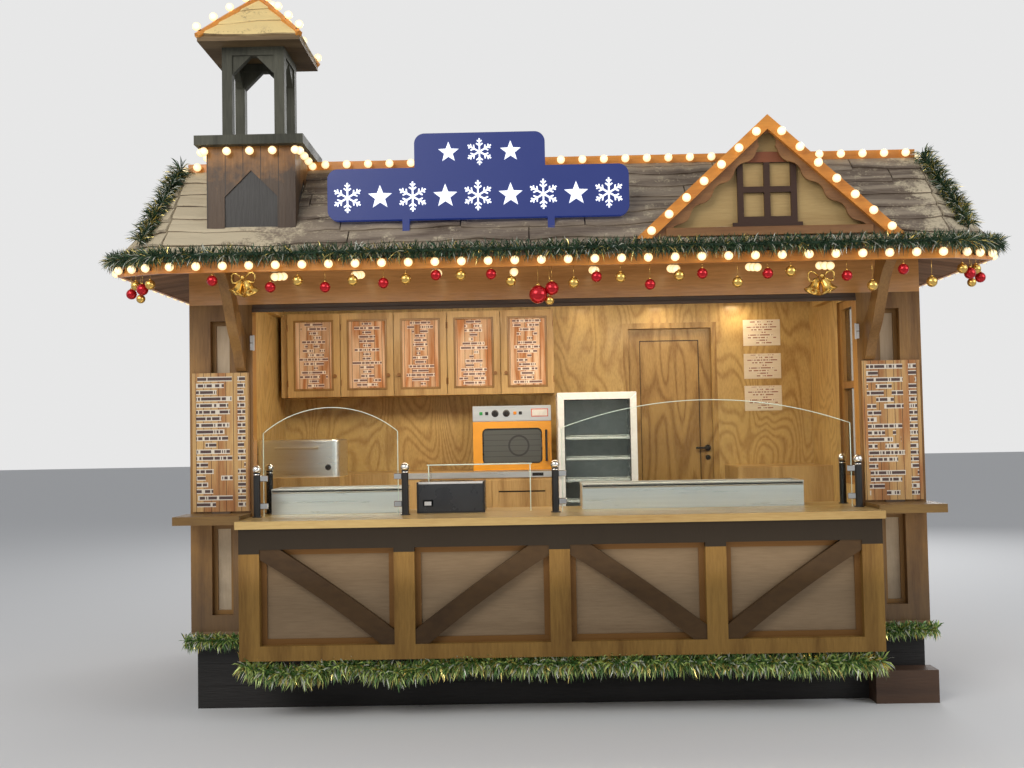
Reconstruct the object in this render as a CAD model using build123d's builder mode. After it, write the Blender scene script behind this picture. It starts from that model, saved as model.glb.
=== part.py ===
from build123d import *
import math
import os

# Wooden market hut: a timber framed stall with a service counter, a false
# mansard roof, a belfry turret, a front dormer and its fixed fittings.
# Origin: middle of the footprint at ground level. +X is to the right of
# somebody who looks at the counter, +Y runs to the back, +Z is up.

os.makedirs("parts", exist_ok=True)

# Body of the hut
body_width = 4500
body_depth = 2440
wall_thickness = 100
skirt_height = 400
skirt_inset = 30
skirt_board = 25
floor_thickness = 70
room_top = 2680
ceiling_board = 20
panel_thickness = 40
bead_width = 24
bead_height = 12

# Roof and its overhangs
front_overhang = 600
side_overhang = 360
soffit_fall = 0.15
soffit_board = 20
fascia_height = 63
fascia_board = 25
roof_top = 3300
roof_board = 30
deck_board = 40
ridge_height = 55
ridge_board = 25

# Front opening
pier_width = 390
pier_post = 130
lintel_height = 207
rail_height = 100

# Service counter
counter_reach = 406
counter_end_overhang = 18
counter_level = 1165
counter_board = 45
counter_inside = 500
counter_box_bottom = 360
counter_lip = 16
counter_post = 120
counter_frame_depth = 100
counter_bays = 4
panel_recess = 60
brace_width = 120

# Back door
door_left = 652
door_opening = 707
door_clear_height = 2028
lining_board = 30
door_leaf = 45
door_gap = 5
seat_gap = 0.3
bumper_gap = 0.8
knuckle_radius = 3
knuckle_length = 50

# Ornaments
garland_radius = 50
hip_garland_radius = 58
counter_garland_radius = 80

# Levels and planes that follow from the sizes above
half_width = body_width / 2
inner_x = half_width - wall_thickness
y_front = -(body_depth + front_overhang + side_overhang) / 2 + front_overhang
y_back = y_front + body_depth
y_inner_front = y_front + wall_thickness
y_inner_back = y_back - wall_thickness
y_eave_front = y_front - front_overhang
y_eave_back = y_back + side_overhang
x_eave = half_width + side_overhang
floor_top = skirt_height + floor_thickness
opening_half = half_width - pier_width
lintel_bottom = room_top - lintel_height
door_top = floor_top + door_clear_height
soffit_front = room_top - front_overhang * soffit_fall
soffit_side = room_top - side_overhang * soffit_fall
eave_front_top = soffit_front + fascia_height
eave_side_top = soffit_side + fascia_height
front_slope = (roof_top - eave_front_top) / front_overhang
side_slope = (roof_top - eave_side_top) / side_overhang
counter_front = y_front - counter_reach
counter_box_width = 2 * opening_half
counter_width = counter_box_width + 2 * counter_end_overhang
box_front = counter_front + counter_lip
box_top = counter_level - counter_board
centre_y = (y_front + y_back) / 2


# The black skirt hides the timber bearers that the hut stands on.
with BuildPart() as base_skirt:
    with BuildSketch(Plane.XY):
        with Locations((0, centre_y)):
            Rectangle(body_width - 2 * skirt_inset, body_depth - 2 * skirt_inset)
            Rectangle(
                body_width - 2 * skirt_inset - 2 * skirt_board,
                body_depth - 2 * skirt_inset - 2 * skirt_board,
                mode=Mode.SUBTRACT,
            )
    extrude(amount=skirt_height)
base_skirt.part.label = "base_skirt"
export_step(base_skirt.part, "parts/base_skirt.step")

bearer_width = 100
bearer_rows = 3
bearer_length = body_width - 2 * skirt_inset - 2 * skirt_board
bearer_step = (body_depth - 2 * skirt_inset - 2 * skirt_board - bearer_width) / (bearer_rows - 1)
with BuildPart() as base_bearers:
    with BuildSketch(Plane.XY):
        with Locations((0, centre_y)):
            with GridLocations(0, bearer_step, 1, bearer_rows):
                Rectangle(bearer_length, bearer_width)
    extrude(amount=skirt_height)
base_bearers.part.label = "base_bearers"
export_step(base_bearers.part, "parts/base_bearers.step")

block_width = pier_width - 16
block_height = 195
block_depth = 150
with BuildPart() as plinth_block:
    with BuildSketch(Plane.XY):
        with Locations((half_width - block_width / 2, y_front + skirt_inset - block_depth / 2)):
            Rectangle(block_width, block_depth)
    extrude(amount=block_height)
plinth_block.part.label = "plinth_block"
export_step(plinth_block.part, "parts/plinth_block.step")

with BuildPart() as floor:
    with BuildSketch(Plane.XY.offset(skirt_height)):
        with Locations((0, centre_y)):
            Rectangle(body_width, body_depth)
    extrude(amount=floor_thickness)
floor.part.label = "floor"
export_step(floor.part, "parts/floor.step")


# Walls. Each is a frame of posts and rails, with a panel in every bay that
# is flush with the frame inside and lies back from it outside.
side_post = 120
side_end_post = 130
side_bays = 3
side_rail_level = 1190
side_rail = 100
side_length = body_depth - 2 * wall_thickness
side_bay = (side_length - 2 * side_end_post - (side_bays - 1) * side_post) / side_bays
sill_rail = 120
head_rail = 110

lower_bay = (floor_top + sill_rail, side_rail_level - side_rail / 2)
upper_bay = (side_rail_level + side_rail / 2, room_top - head_rail)


def side_bay_span(index):
    start = y_inner_front + side_end_post + index * (side_bay + side_post)
    return start, start + side_bay


side_openings = []
for bay_index in range(side_bays):
    for low, high in (lower_bay, upper_bay):
        side_openings.append((*side_bay_span(bay_index), low, high))


def cut_bays(openings):
    for first, last, low, high in openings:
        with Locations(((first + last) / 2, (low + high) / 2)):
            Rectangle(last - first, high - low, mode=Mode.SUBTRACT)


def bay_beads(openings):
    for first, last, low, high in openings:
        with Locations(((first + last) / 2, (low + high) / 2)):
            Rectangle(last - first, high - low)
            Rectangle(
                last - first - 2 * bead_width, high - low - 2 * bead_width, mode=Mode.SUBTRACT
            )


def side_wall(x_outer, inward):
    with BuildPart() as wall:
        with BuildSketch(Plane.YZ.offset(x_outer)):
            with Locations(((y_inner_front + y_inner_back) / 2, (floor_top + room_top) / 2)):
                Rectangle(side_length, room_top - floor_top)
            cut_bays(side_openings)
        extrude(amount=inward * wall_thickness)
    return wall


left_wall_frame = side_wall(-half_width, 1)
left_wall_frame.part.label = "left_wall_frame"
export_step(left_wall_frame.part, "parts/left_wall_frame.step")

right_wall_frame = side_wall(half_width, -1)
right_wall_frame.part.label = "right_wall_frame"
export_step(right_wall_frame.part, "parts/right_wall_frame.step")

# Back wall: left of the door, right of the door, and the board over it
door_right = door_left + door_opening
lining_left = door_left - lining_board
lining_right = door_right + lining_board
lining_top = door_top + lining_board
back_left_bays = 4
back_left_length = lining_left + half_width
back_left_bay = (back_left_length - side_end_post - back_left_bays * side_post) / back_left_bays
back_openings = []
for bay_index in range(back_left_bays):
    bay_start = -half_width + side_end_post + bay_index * (back_left_bay + side_post)
    for low, high in (lower_bay, upper_bay):
        back_openings.append((bay_start, bay_start + back_left_bay, low, high))
for low, high in (lower_bay, upper_bay):
    back_openings.append((lining_right + side_post, half_width - side_end_post, low, high))

# Plane whose first axis is +X, whose second is +Z and whose normal is -Y
wall_plane = Plane.XZ

with BuildPart() as back_wall_frame:
    with BuildSketch(wall_plane.offset(-y_inner_back)):
        with Locations(((lining_left - half_width) / 2, (floor_top + room_top) / 2)):
            Rectangle(back_left_length, room_top - floor_top)
        with Locations(((lining_right + half_width) / 2, (floor_top + room_top) / 2)):
            Rectangle(half_width - lining_right, room_top - floor_top)
        cut_bays(back_openings)
    extrude(amount=-wall_thickness)
back_wall_frame.part.label = "back_wall_frame"
export_step(back_wall_frame.part, "parts/back_wall_frame.step")

with BuildPart() as over_door_board:
    with BuildSketch(wall_plane.offset(-y_inner_back)):
        with Locations(((lining_left + lining_right) / 2, (lining_top + room_top) / 2)):
            Rectangle(lining_right - lining_left, room_top - lining_top)
    extrude(amount=-wall_thickness)
over_door_board.part.label = "over_door_board"
export_step(over_door_board.part, "parts/over_door_board.step")

# Front piers: two posts each with a panel between them
pier_recess = pier_width - 2 * pier_post
pier_openings = []
for side in (-1, 1):
    recess_middle = side * (half_width - pier_width / 2)
    for low, high in (
        (floor_top + rail_height, counter_level - rail_height / 2),
        (counter_level + rail_height / 2, lintel_bottom - rail_height),
    ):
        pier_openings.append(
            (recess_middle - pier_recess / 2, recess_middle + pier_recess / 2, low, high)
        )

with BuildPart() as front_piers:
    with BuildSketch(wall_plane.offset(-y_front)):
        for side in (-1, 1):
            with Locations((side * (half_width - pier_width / 2), (floor_top + lintel_bottom) / 2)):
                Rectangle(pier_width, lintel_bottom - floor_top)
        cut_bays(pier_openings)
    extrude(amount=-wall_thickness)
front_piers.part.label = "front_piers"
export_step(front_piers.part, "parts/front_piers.step")

with BuildPart() as front_lintel:
    with BuildSketch(wall_plane.offset(-y_front)):
        with Locations((0, (lintel_bottom + room_top) / 2)):
            Rectangle(body_width, room_top - lintel_bottom)
    extrude(amount=-wall_thickness)
front_lintel.part.label = "front_lintel"
export_step(front_lintel.part, "parts/front_lintel.step")

# The sill wall carries the counter, with support boards under its inner half
support_board = 40
support_places = 3
support_step = opening_half * 2 / (support_places + 1)
with BuildPart() as front_sill_wall:
    with BuildSketch(Plane.XY.offset(floor_top)):
        with Locations((0, y_front + wall_thickness / 2)):
            Rectangle(2 * opening_half, wall_thickness)
        with Locations((0, y_inner_front + (counter_inside - wall_thickness) / 2)):
            with GridLocations(support_step, 0, support_places, 1):
                Rectangle(support_board, counter_inside - wall_thickness)
    extrude(amount=box_top - floor_top)
front_sill_wall.part.label = "front_sill_wall"
export_step(front_sill_wall.part, "parts/front_sill_wall.step")

# One panel fills each bay, and the upper middle bay of the right wall holds
# a casement window in place of a panel.
window_bay = (*side_bay_span(1), *upper_bay)
with BuildPart() as wall_panels:
    with BuildSketch(Plane.YZ.offset(-inner_x)):
        for first, last, low, high in side_openings:
            with Locations(((first + last) / 2, (low + high) / 2)):
                Rectangle(last - first, high - low)
    extrude(amount=-panel_thickness)
    with BuildSketch(Plane.YZ.offset(inner_x)):
        for first, last, low, high in side_openings:
            if (first, last, low, high) != window_bay:
                with Locations(((first + last) / 2, (low + high) / 2)):
                    Rectangle(last - first, high - low)
    extrude(amount=panel_thickness)
    with BuildSketch(wall_plane.offset(-y_inner_back)):
        for first, last, low, high in back_openings:
            with Locations(((first + last) / 2, (low + high) / 2)):
                Rectangle(last - first, high - low)
    extrude(amount=-panel_thickness)
    with BuildSketch(wall_plane.offset(-y_inner_front)):
        for first, last, low, high in pier_openings:
            with Locations(((first + last) / 2, (low + high) / 2)):
                Rectangle(last - first, high - low)
    extrude(amount=panel_thickness)
    with BuildSketch(Plane.YZ.offset(-inner_x - panel_thickness)):
        bay_beads(side_openings)
    extrude(amount=-bead_height)
    with BuildSketch(Plane.YZ.offset(inner_x + panel_thickness)):
        bay_beads([bay for bay in side_openings if bay != window_bay])
    extrude(amount=bead_height)
    with BuildSketch(wall_plane.offset(-(y_inner_back + panel_thickness))):
        bay_beads(back_openings)
    extrude(amount=-bead_height)
    with BuildSketch(wall_plane.offset(-(y_inner_front - panel_thickness))):
        bay_beads(pier_openings)
    extrude(amount=bead_height)
wall_panels.part.label = "wall_panels"
export_step(wall_panels.part, "parts/wall_panels.step")

window_frame_width = 55
window_frame_depth = 60
transom_level = 1955
transom_height = 50
glass_thickness = 6
window_middle = (window_bay[0] + window_bay[1]) / 2
window_clear = window_bay[1] - window_bay[0] - 2 * window_frame_width
light_levels = (
    (window_bay[2] + window_frame_width, transom_level - transom_height / 2),
    (transom_level + transom_height / 2, window_bay[3] - window_frame_width),
)
with BuildPart() as right_window_frame:
    with BuildSketch(Plane.YZ.offset(inner_x + (wall_thickness - window_frame_depth) / 2)):
        with Locations((window_middle, (window_bay[2] + window_bay[3]) / 2)):
            Rectangle(window_bay[1] - window_bay[0], window_bay[3] - window_bay[2])
        for low, high in light_levels:
            with Locations((window_middle, (low + high) / 2)):
                Rectangle(window_clear, high - low, mode=Mode.SUBTRACT)
    extrude(amount=window_frame_depth)
right_window_frame.part.label = "right_window_frame"
export_step(right_window_frame.part, "parts/right_window_frame.step")

with BuildPart() as right_window_glass:
    with BuildSketch(Plane.YZ.offset(inner_x + wall_thickness / 2)):
        for low, high in light_levels:
            with Locations((window_middle, (low + high) / 2)):
                Rectangle(window_clear, high - low)
    extrude(amount=glass_thickness / 2, both=True)
right_window_glass.part.label = "right_window_glass"
export_step(right_window_glass.part, "parts/right_window_glass.step")


# Back door, hung on its left edge in a lining, opening outwards
stop_width = 15
with BuildPart() as back_door_lining:
    with BuildSketch(wall_plane.offset(-y_inner_back)):
        with Locations(((lining_left + lining_right) / 2, (floor_top + lining_top) / 2)):
            Rectangle(lining_right - lining_left, lining_top - floor_top)
        with Locations(((door_left + door_right) / 2, (floor_top + door_top) / 2)):
            Rectangle(door_opening, door_top - floor_top, mode=Mode.SUBTRACT)
    extrude(amount=-wall_thickness)
    with BuildSketch(wall_plane.offset(-y_inner_back)):
        with Locations(((door_left + door_right) / 2, (floor_top + door_top) / 2)):
            Rectangle(door_opening, door_top - floor_top)
        with Locations(((door_left + door_right) / 2, (floor_top + door_top - stop_width) / 2)):
            Rectangle(
                door_opening - 2 * stop_width, door_top - floor_top - stop_width, mode=Mode.SUBTRACT
            )
    extrude(amount=-(wall_thickness - door_leaf - door_gap))
back_door_lining.part.label = "back_door_lining"
export_step(back_door_lining.part, "parts/back_door_lining.step")

door_stile = 105
door_pocket = 10
leaf_left = door_left + door_gap
leaf_right = door_right - door_gap
leaf_bottom = floor_top + door_gap
leaf_top = door_top - door_gap
leaf_centre = ((leaf_left + leaf_right) / 2, (leaf_bottom + leaf_top) / 2)
with BuildPart() as back_door:
    with BuildSketch(wall_plane.offset(-y_back)):
        with Locations(leaf_centre):
            Rectangle(leaf_right - leaf_left, leaf_top - leaf_bottom)
    extrude(amount=door_leaf)
    for pocket_plane, inward in (
        (wall_plane.offset(-y_back), 1),
        (wall_plane.offset(-(y_back - door_leaf)), -1),
    ):
        with BuildSketch(pocket_plane):
            with Locations(leaf_centre):
                Rectangle(
                    leaf_right - leaf_left - 2 * door_stile, leaf_top - leaf_bottom - 2 * door_stile
                )
        extrude(amount=inward * door_pocket, mode=Mode.SUBTRACT)
back_door.part.label = "back_door"
export_step(back_door.part, "parts/back_door.step")

# Lever handles on both faces and three lift hinges on the outer face
handle_height = 1030
keyhole_drop = 78
handle_inset = 50
rose_radius = 26
key_rose_radius = 21
rose_thickness = 8
lever_radius = 9
lever_reach = 45
lever_length = 110
hinge_radius = 7
hinge_length = 90
hinge_plate = 60
hinge_plate_thickness = 3
hinge_levels = (leaf_bottom + 220, (leaf_bottom + leaf_top) / 2, leaf_top - 220)
handle_x = leaf_right - handle_inset
handle_level = floor_top + handle_height
hinge_x = door_left - hinge_radius / 2
hinge_y = y_back + hinge_radius + seat_gap
with BuildPart() as back_door_hardware:
    for face_y, out in ((y_back, 1), (y_back - door_leaf, -1)):
        with BuildSketch(wall_plane.offset(-face_y)):
            with Locations((handle_x, handle_level)):
                Circle(rose_radius)
            with Locations((handle_x, handle_level - keyhole_drop)):
                Circle(key_rose_radius)
        extrude(amount=-out * rose_thickness)
        with BuildSketch(wall_plane.offset(-face_y)):
            with Locations((handle_x, handle_level)):
                Circle(lever_radius)
        extrude(amount=-out * lever_reach)
        with BuildSketch(Plane.YZ.offset(handle_x + lever_radius)):
            with Locations((face_y + out * (lever_reach - lever_radius), handle_level)):
                Circle(lever_radius)
        extrude(amount=-lever_length)
    for level in hinge_levels:
        with BuildSketch(Plane.XY.offset(level - hinge_length / 2)):
            with Locations((hinge_x, hinge_y)):
                Circle(hinge_radius)
            with Locations(
                (hinge_x + hinge_plate / 2, y_back + seat_gap + hinge_plate_thickness / 2)
            ):
                Rectangle(hinge_plate, hinge_plate_thickness)
        extrude(amount=hinge_length)
back_door_hardware.part.label = "back_door_hardware"
export_step(back_door_hardware.part, "parts/back_door_hardware.step")


# Ceiling, with a boxed beam along the top of each side wall, and roof
corner_beam = 56
corner_beam_height = 80
cabinet_depth = 330
cabinet_front = y_inner_back - cabinet_depth
with BuildPart() as ceiling:
    with BuildSketch(Plane.XY.offset(room_top)):
        with Locations((0, centre_y)):
            Rectangle(body_width, body_depth)
    extrude(amount=ceiling_board)
    with BuildSketch(Plane.XY.offset(room_top)):
        for side in (-1, 1):
            with Locations(
                (side * (inner_x - corner_beam / 2), (y_inner_front + cabinet_front - door_gap) / 2)
            ):
                Rectangle(corner_beam, cabinet_front - door_gap - y_inner_front)
    extrude(amount=-corner_beam_height)
ceiling.part.label = "ceiling"
export_step(ceiling.part, "parts/ceiling.step")

curb_board = 45
roof_inset_front = roof_board * math.hypot(1, front_slope) / front_slope
roof_inset_side = roof_board * math.hypot(1, side_slope) / side_slope
deck_inset = max(roof_inset_front, roof_inset_side) + seat_gap
curb_inset = max(
    roof_inset_front - deck_board / front_slope, roof_inset_side - deck_board / side_slope
) + seat_gap
with BuildPart() as roof_deck:
    with BuildSketch(Plane.XY.offset(room_top + ceiling_board)):
        with Locations((0, centre_y)):
            Rectangle(body_width - 2 * curb_inset, body_depth - 2 * curb_inset)
            Rectangle(
                body_width - 2 * curb_inset - 2 * curb_board,
                body_depth - 2 * curb_inset - 2 * curb_board,
                mode=Mode.SUBTRACT,
            )
    extrude(amount=roof_top - deck_board - room_top - ceiling_board)
    with BuildSketch(Plane.XY.offset(roof_top - deck_board)):
        with Locations((0, centre_y)):
            Rectangle(body_width - 2 * deck_inset, body_depth - 2 * deck_inset)
    extrude(amount=deck_board)
roof_deck.part.label = "roof_deck"
export_step(roof_deck.part, "parts/roof_deck.step")

# The eave is a rectangle with its corners cut at 45 degrees. Each corner of
# the outline is x, y, underside of the eave.
corner_cut = side_overhang
eave_corners = [
    (-half_width, y_eave_front, soffit_front),
    (half_width, y_eave_front, soffit_front),
    (x_eave, y_eave_front + corner_cut, soffit_side),
    (x_eave, y_eave_back - corner_cut, soffit_side),
    (half_width, y_eave_back, soffit_side),
    (-half_width, y_eave_back, soffit_side),
    (-x_eave, y_eave_back - corner_cut, soffit_side),
    (-x_eave, y_eave_front + corner_cut, soffit_side),
]
top_corners = [
    (-half_width, y_front),
    (half_width, y_front),
    (half_width, y_front),
    (half_width, y_back),
    (half_width, y_back),
    (-half_width, y_back),
    (-half_width, y_back),
    (-half_width, y_front),
]


def facet_plane(index, rise, top_level):
    """Plane through one eave edge, lifted by rise, and the roof's edge above it."""
    first = Vector(*eave_corners[index]) + Vector(0, 0, rise)
    second = Vector(*eave_corners[(index + 1) % 8]) + Vector(0, 0, rise)
    above = Vector(*top_corners[index], top_level)
    along = second - first
    normal = along.cross(above - first)
    return Plane(origin=first, x_dir=along, z_dir=normal)


def eave_outline(inset):
    edge = inset * math.tan(math.radians(22.5))
    return [
        (-half_width + edge, y_eave_front + inset),
        (half_width - edge, y_eave_front + inset),
        (x_eave - inset, y_eave_front + corner_cut + edge),
        (x_eave - inset, y_eave_back - corner_cut - edge),
        (half_width - edge, y_eave_back - inset),
        (-half_width + edge, y_eave_back - inset),
        (-x_eave + inset, y_eave_back - corner_cut - edge),
        (-x_eave + inset, y_eave_front + corner_cut + edge),
    ]


def mass_under(rise, edge_level, shift, top_level):
    """What lies inside the fascia and under the facets that run from the eave,
    raised by rise, to the roof's edge at edge_level. The facets are moved out
    by shift, and the mass is cut flat at top_level."""
    low_level = soffit_front - fascia_height
    with BuildPart() as mass:
        with BuildSketch(Plane.XY.offset(low_level)):
            Polygon(*eave_outline(fascia_board), align=None)
        extrude(amount=top_level - low_level)
        for index in range(8):
            split(
                bisect_by=facet_plane(index, rise, edge_level).offset(shift),
                keep=Keep.BOTTOM,
            )
    return mass.part


soffit_top = mass_under(0, room_top, soffit_board, room_top + 2 * ceiling_board)
roof_solid = mass_under(fascia_height, roof_top, 0, roof_top)

with BuildPart() as canopy_soffit:
    add(soffit_top)
    add(mass_under(0, room_top, 0, room_top + 2 * ceiling_board), mode=Mode.SUBTRACT)
    with BuildSketch(Plane.XY.offset(soffit_front)):
        with Locations((0, centre_y)):
            Rectangle(body_width, body_depth)
    extrude(amount=roof_top - soffit_front, mode=Mode.SUBTRACT)
canopy_soffit.part.label = "canopy_soffit"
export_step(canopy_soffit.part, "parts/canopy_soffit.step")

with BuildPart() as roof_shell:
    add(roof_solid)
    add(mass_under(fascia_height, roof_top, -roof_board, roof_top), mode=Mode.SUBTRACT)
    add(soffit_top, mode=Mode.SUBTRACT)

with BuildPart() as roof_front_slope:
    add(roof_shell.part)
    split(bisect_by=Plane.YZ.offset(half_width), keep=Keep.BOTTOM)
    split(bisect_by=Plane.YZ.offset(-half_width), keep=Keep.TOP)
    split(bisect_by=Plane.XZ.offset(-centre_y), keep=Keep.TOP)
roof_front_slope.part.label = "roof_front_slope"
export_step(roof_front_slope.part, "parts/roof_front_slope.step")

with BuildPart() as roof_back_slope:
    add(roof_shell.part)
    split(bisect_by=Plane.YZ.offset(half_width), keep=Keep.BOTTOM)
    split(bisect_by=Plane.YZ.offset(-half_width), keep=Keep.TOP)
    split(bisect_by=Plane.XZ.offset(-centre_y), keep=Keep.BOTTOM)
roof_back_slope.part.label = "roof_back_slope"
export_step(roof_back_slope.part, "parts/roof_back_slope.step")

with BuildPart() as roof_left_slope:
    add(roof_shell.part)
    split(bisect_by=Plane.YZ.offset(-half_width), keep=Keep.BOTTOM)
roof_left_slope.part.label = "roof_left_slope"
export_step(roof_left_slope.part, "parts/roof_left_slope.step")

with BuildPart() as roof_right_slope:
    add(roof_shell.part)
    split(bisect_by=Plane.YZ.offset(half_width), keep=Keep.TOP)
roof_right_slope.part.label = "roof_right_slope"
export_step(roof_right_slope.part, "parts/roof_right_slope.step")

with BuildPart() as eave_fascia:
    for index in range(8):
        start = Vector(*eave_corners[index])
        finish = Vector(*eave_corners[(index + 1) % 8])
        level_start = Vector(start.X, start.Y, 0)
        level_finish = Vector(finish.X, finish.Y, 0)
        run = (level_finish - level_start).length
        across = (level_finish - level_start).normalized()
        board_plane = Plane(origin=level_start, x_dir=across, z_dir=across.cross(Vector(0, 0, 1)))
        with BuildSketch(board_plane):
            with BuildLine():
                Polyline(
                    (0, start.Z),
                    (run, finish.Z),
                    (run, finish.Z + fascia_height),
                    (0, start.Z + fascia_height),
                    close=True,
                )
            make_face()
        extrude(amount=-fascia_board)
eave_fascia.part.label = "eave_fascia"
export_step(eave_fascia.part, "parts/eave_fascia.step")


# Belfry turret over the left of the counter
turret_from_end = 490
turret_size = 520
turret_front = 420
turret_board = 22
turret_panel_width = 310
turret_panel_depth = 8
turret_panel_drop = 142
cap_size = 635
cap_height = 55
belfry_size = 370
belfry_post = 60
belfry_height = 560
belfry_rail = 50
belfry_brace = 110
pyramid_size = 600
pyramid_height = 350
pyramid_edge = 24
turret_x = turret_from_end - half_width
turret_y = y_front - turret_front + turret_size / 2
turret_top = roof_top + ridge_height
cap_top = turret_top + cap_height
belfry_top = cap_top + belfry_height

# Dormer over the right of the counter
dormer_from_end = 1021
dormer_half_width = 765
dormer_lift = 87
dormer_rise = 700
dormer_barge_front = 560
dormer_wall_front = 480
dormer_back = 100
dormer_board = 35
dormer_wall_board = 24
barge_height = 62
barge_board = 28
dormer_x = half_width - dormer_from_end
dormer_base = eave_front_top + dormer_lift
dormer_apex = dormer_base + dormer_rise
dormer_pitch = dormer_rise / dormer_half_width


def dormer_profile(drop, mode=Mode.ADD):
    """Gable outline, lowered by drop measured square to the slopes."""
    fall = drop * math.hypot(1, dormer_pitch)
    half = dormer_half_width - fall / dormer_pitch
    Polygon(
        (dormer_x - half, dormer_base),
        (dormer_x + half, dormer_base),
        (dormer_x, dormer_apex - fall),
        align=None,
        mode=mode,
    )


with BuildPart() as dormer_volume:
    with BuildSketch(wall_plane.offset(-(y_front - dormer_barge_front))):
        dormer_profile(0)
    extrude(amount=-(dormer_barge_front + dormer_back))

with BuildPart() as ridge_boards:
    with BuildSketch(Plane.XY.offset(roof_top)):
        with Locations((0, centre_y)):
            Rectangle(body_width, body_depth)
            Rectangle(body_width - 2 * ridge_board, body_depth - 2 * ridge_board, mode=Mode.SUBTRACT)
        with Locations((turret_x, turret_y)):
            Rectangle(turret_size, turret_size, mode=Mode.SUBTRACT)
    extrude(amount=ridge_height)
    add(dormer_volume.part, mode=Mode.SUBTRACT)
ridge_boards.part.label = "ridge_boards"
export_step(ridge_boards.part, "parts/ridge_boards.step")

with BuildPart() as turret_box:
    with BuildSketch(Plane.XY.offset(soffit_front)):
        with Locations((turret_x, turret_y)):
            Rectangle(turret_size, turret_size)
            Rectangle(
                turret_size - 2 * turret_board, turret_size - 2 * turret_board, mode=Mode.SUBTRACT
            )
    extrude(amount=turret_top - soffit_front)
    add(roof_solid, mode=Mode.SUBTRACT)
    for face_plane, middle, inward in (
        (Plane.XZ.offset(-(turret_y - turret_size / 2)), turret_x, -1),
        (Plane.XZ.offset(-(turret_y + turret_size / 2)), turret_x, 1),
        (Plane.YZ.offset(turret_x - turret_size / 2), turret_y, 1),
        (Plane.YZ.offset(turret_x + turret_size / 2), turret_y, -1),
    ):
        with BuildSketch(face_plane):
            Polygon(
                (middle - turret_panel_width / 2, soffit_front),
                (middle + turret_panel_width / 2, soffit_front),
                (
                    middle + turret_panel_width / 2,
                    turret_top - turret_panel_drop - turret_panel_width / 2,
                ),
                (middle, turret_top - turret_panel_drop),
                (
                    middle - turret_panel_width / 2,
                    turret_top - turret_panel_drop - turret_panel_width / 2,
                ),
                align=None,
            )
        extrude(amount=inward * turret_panel_depth, mode=Mode.SUBTRACT)
turret_box.part.label = "turret_box"
export_step(turret_box.part, "parts/turret_box.step")

with BuildPart() as turret_cap:
    with BuildSketch(Plane.XY.offset(turret_top)):
        with Locations((turret_x, turret_y)):
            Rectangle(cap_size, cap_size)
    extrude(amount=cap_height)
turret_cap.part.label = "turret_cap"
export_step(turret_cap.part, "parts/turret_cap.step")

post_step = belfry_size - belfry_post
with BuildPart() as belfry_frame:
    with BuildSketch(Plane.XY.offset(cap_top)):
        with Locations((turret_x, turret_y)):
            with GridLocations(post_step, post_step, 2, 2):
                Rectangle(belfry_post, belfry_post)
    extrude(amount=belfry_height)
    with BuildSketch(Plane.XY.offset(belfry_top - belfry_rail)):
        with Locations((turret_x, turret_y)):
            Rectangle(belfry_size, belfry_size)
            Rectangle(
                belfry_size - 2 * belfry_post, belfry_size - 2 * belfry_post, mode=Mode.SUBTRACT
            )
    extrude(amount=belfry_rail)
    for brace_plane, middle in (
        (Plane.XZ.offset(-(turret_y - post_step / 2)), turret_x),
        (Plane.XZ.offset(-(turret_y + post_step / 2)), turret_x),
        (Plane.YZ.offset(turret_x - post_step / 2), turret_y),
        (Plane.YZ.offset(turret_x + post_step / 2), turret_y),
    ):
        with BuildSketch(brace_plane):
            for side in (-1, 1):
                foot = middle + side * (post_step / 2 - belfry_post / 2)
                with BuildLine():
                    Polyline(
                        (foot, belfry_top - belfry_rail),
                        (foot, belfry_top - belfry_rail - belfry_brace),
                        (foot - side * belfry_brace, belfry_top - belfry_rail),
                        close=True,
                    )
                make_face()
        extrude(amount=belfry_post / 3, both=True)
belfry_frame.part.label = "belfry_frame"
export_step(belfry_frame.part, "parts/belfry_frame.step")

with BuildPart() as turret_roof:
    with BuildSketch(Plane.XY.offset(belfry_top)):
        with Locations((turret_x, turret_y)):
            Rectangle(pyramid_size, pyramid_size)
    extrude(amount=pyramid_edge)
    with BuildSketch(Plane.XY.offset(belfry_top + pyramid_edge)):
        with Locations((turret_x, turret_y)):
            Rectangle(pyramid_size, pyramid_size)
    with BuildSketch(Plane.XY.offset(belfry_top + pyramid_height)):
        with Locations((turret_x, turret_y)):
            Rectangle(pyramid_edge, pyramid_edge)
    loft()
turret_roof.part.label = "turret_roof"
export_step(turret_roof.part, "parts/turret_roof.step")

with BuildPart() as dormer_roof:
    with BuildSketch(wall_plane.offset(-(y_front - dormer_barge_front + barge_board))):
        dormer_profile(0)
    extrude(amount=-(dormer_barge_front - barge_board + dormer_back))
    with BuildSketch(wall_plane.offset(-(y_front - dormer_barge_front))):
        dormer_profile(dormer_board)
    extrude(amount=-(dormer_barge_front + dormer_back - dormer_board), mode=Mode.SUBTRACT)
    add(roof_solid, mode=Mode.SUBTRACT)
dormer_roof.part.label = "dormer_roof"
export_step(dormer_roof.part, "parts/dormer_roof.step")

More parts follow.
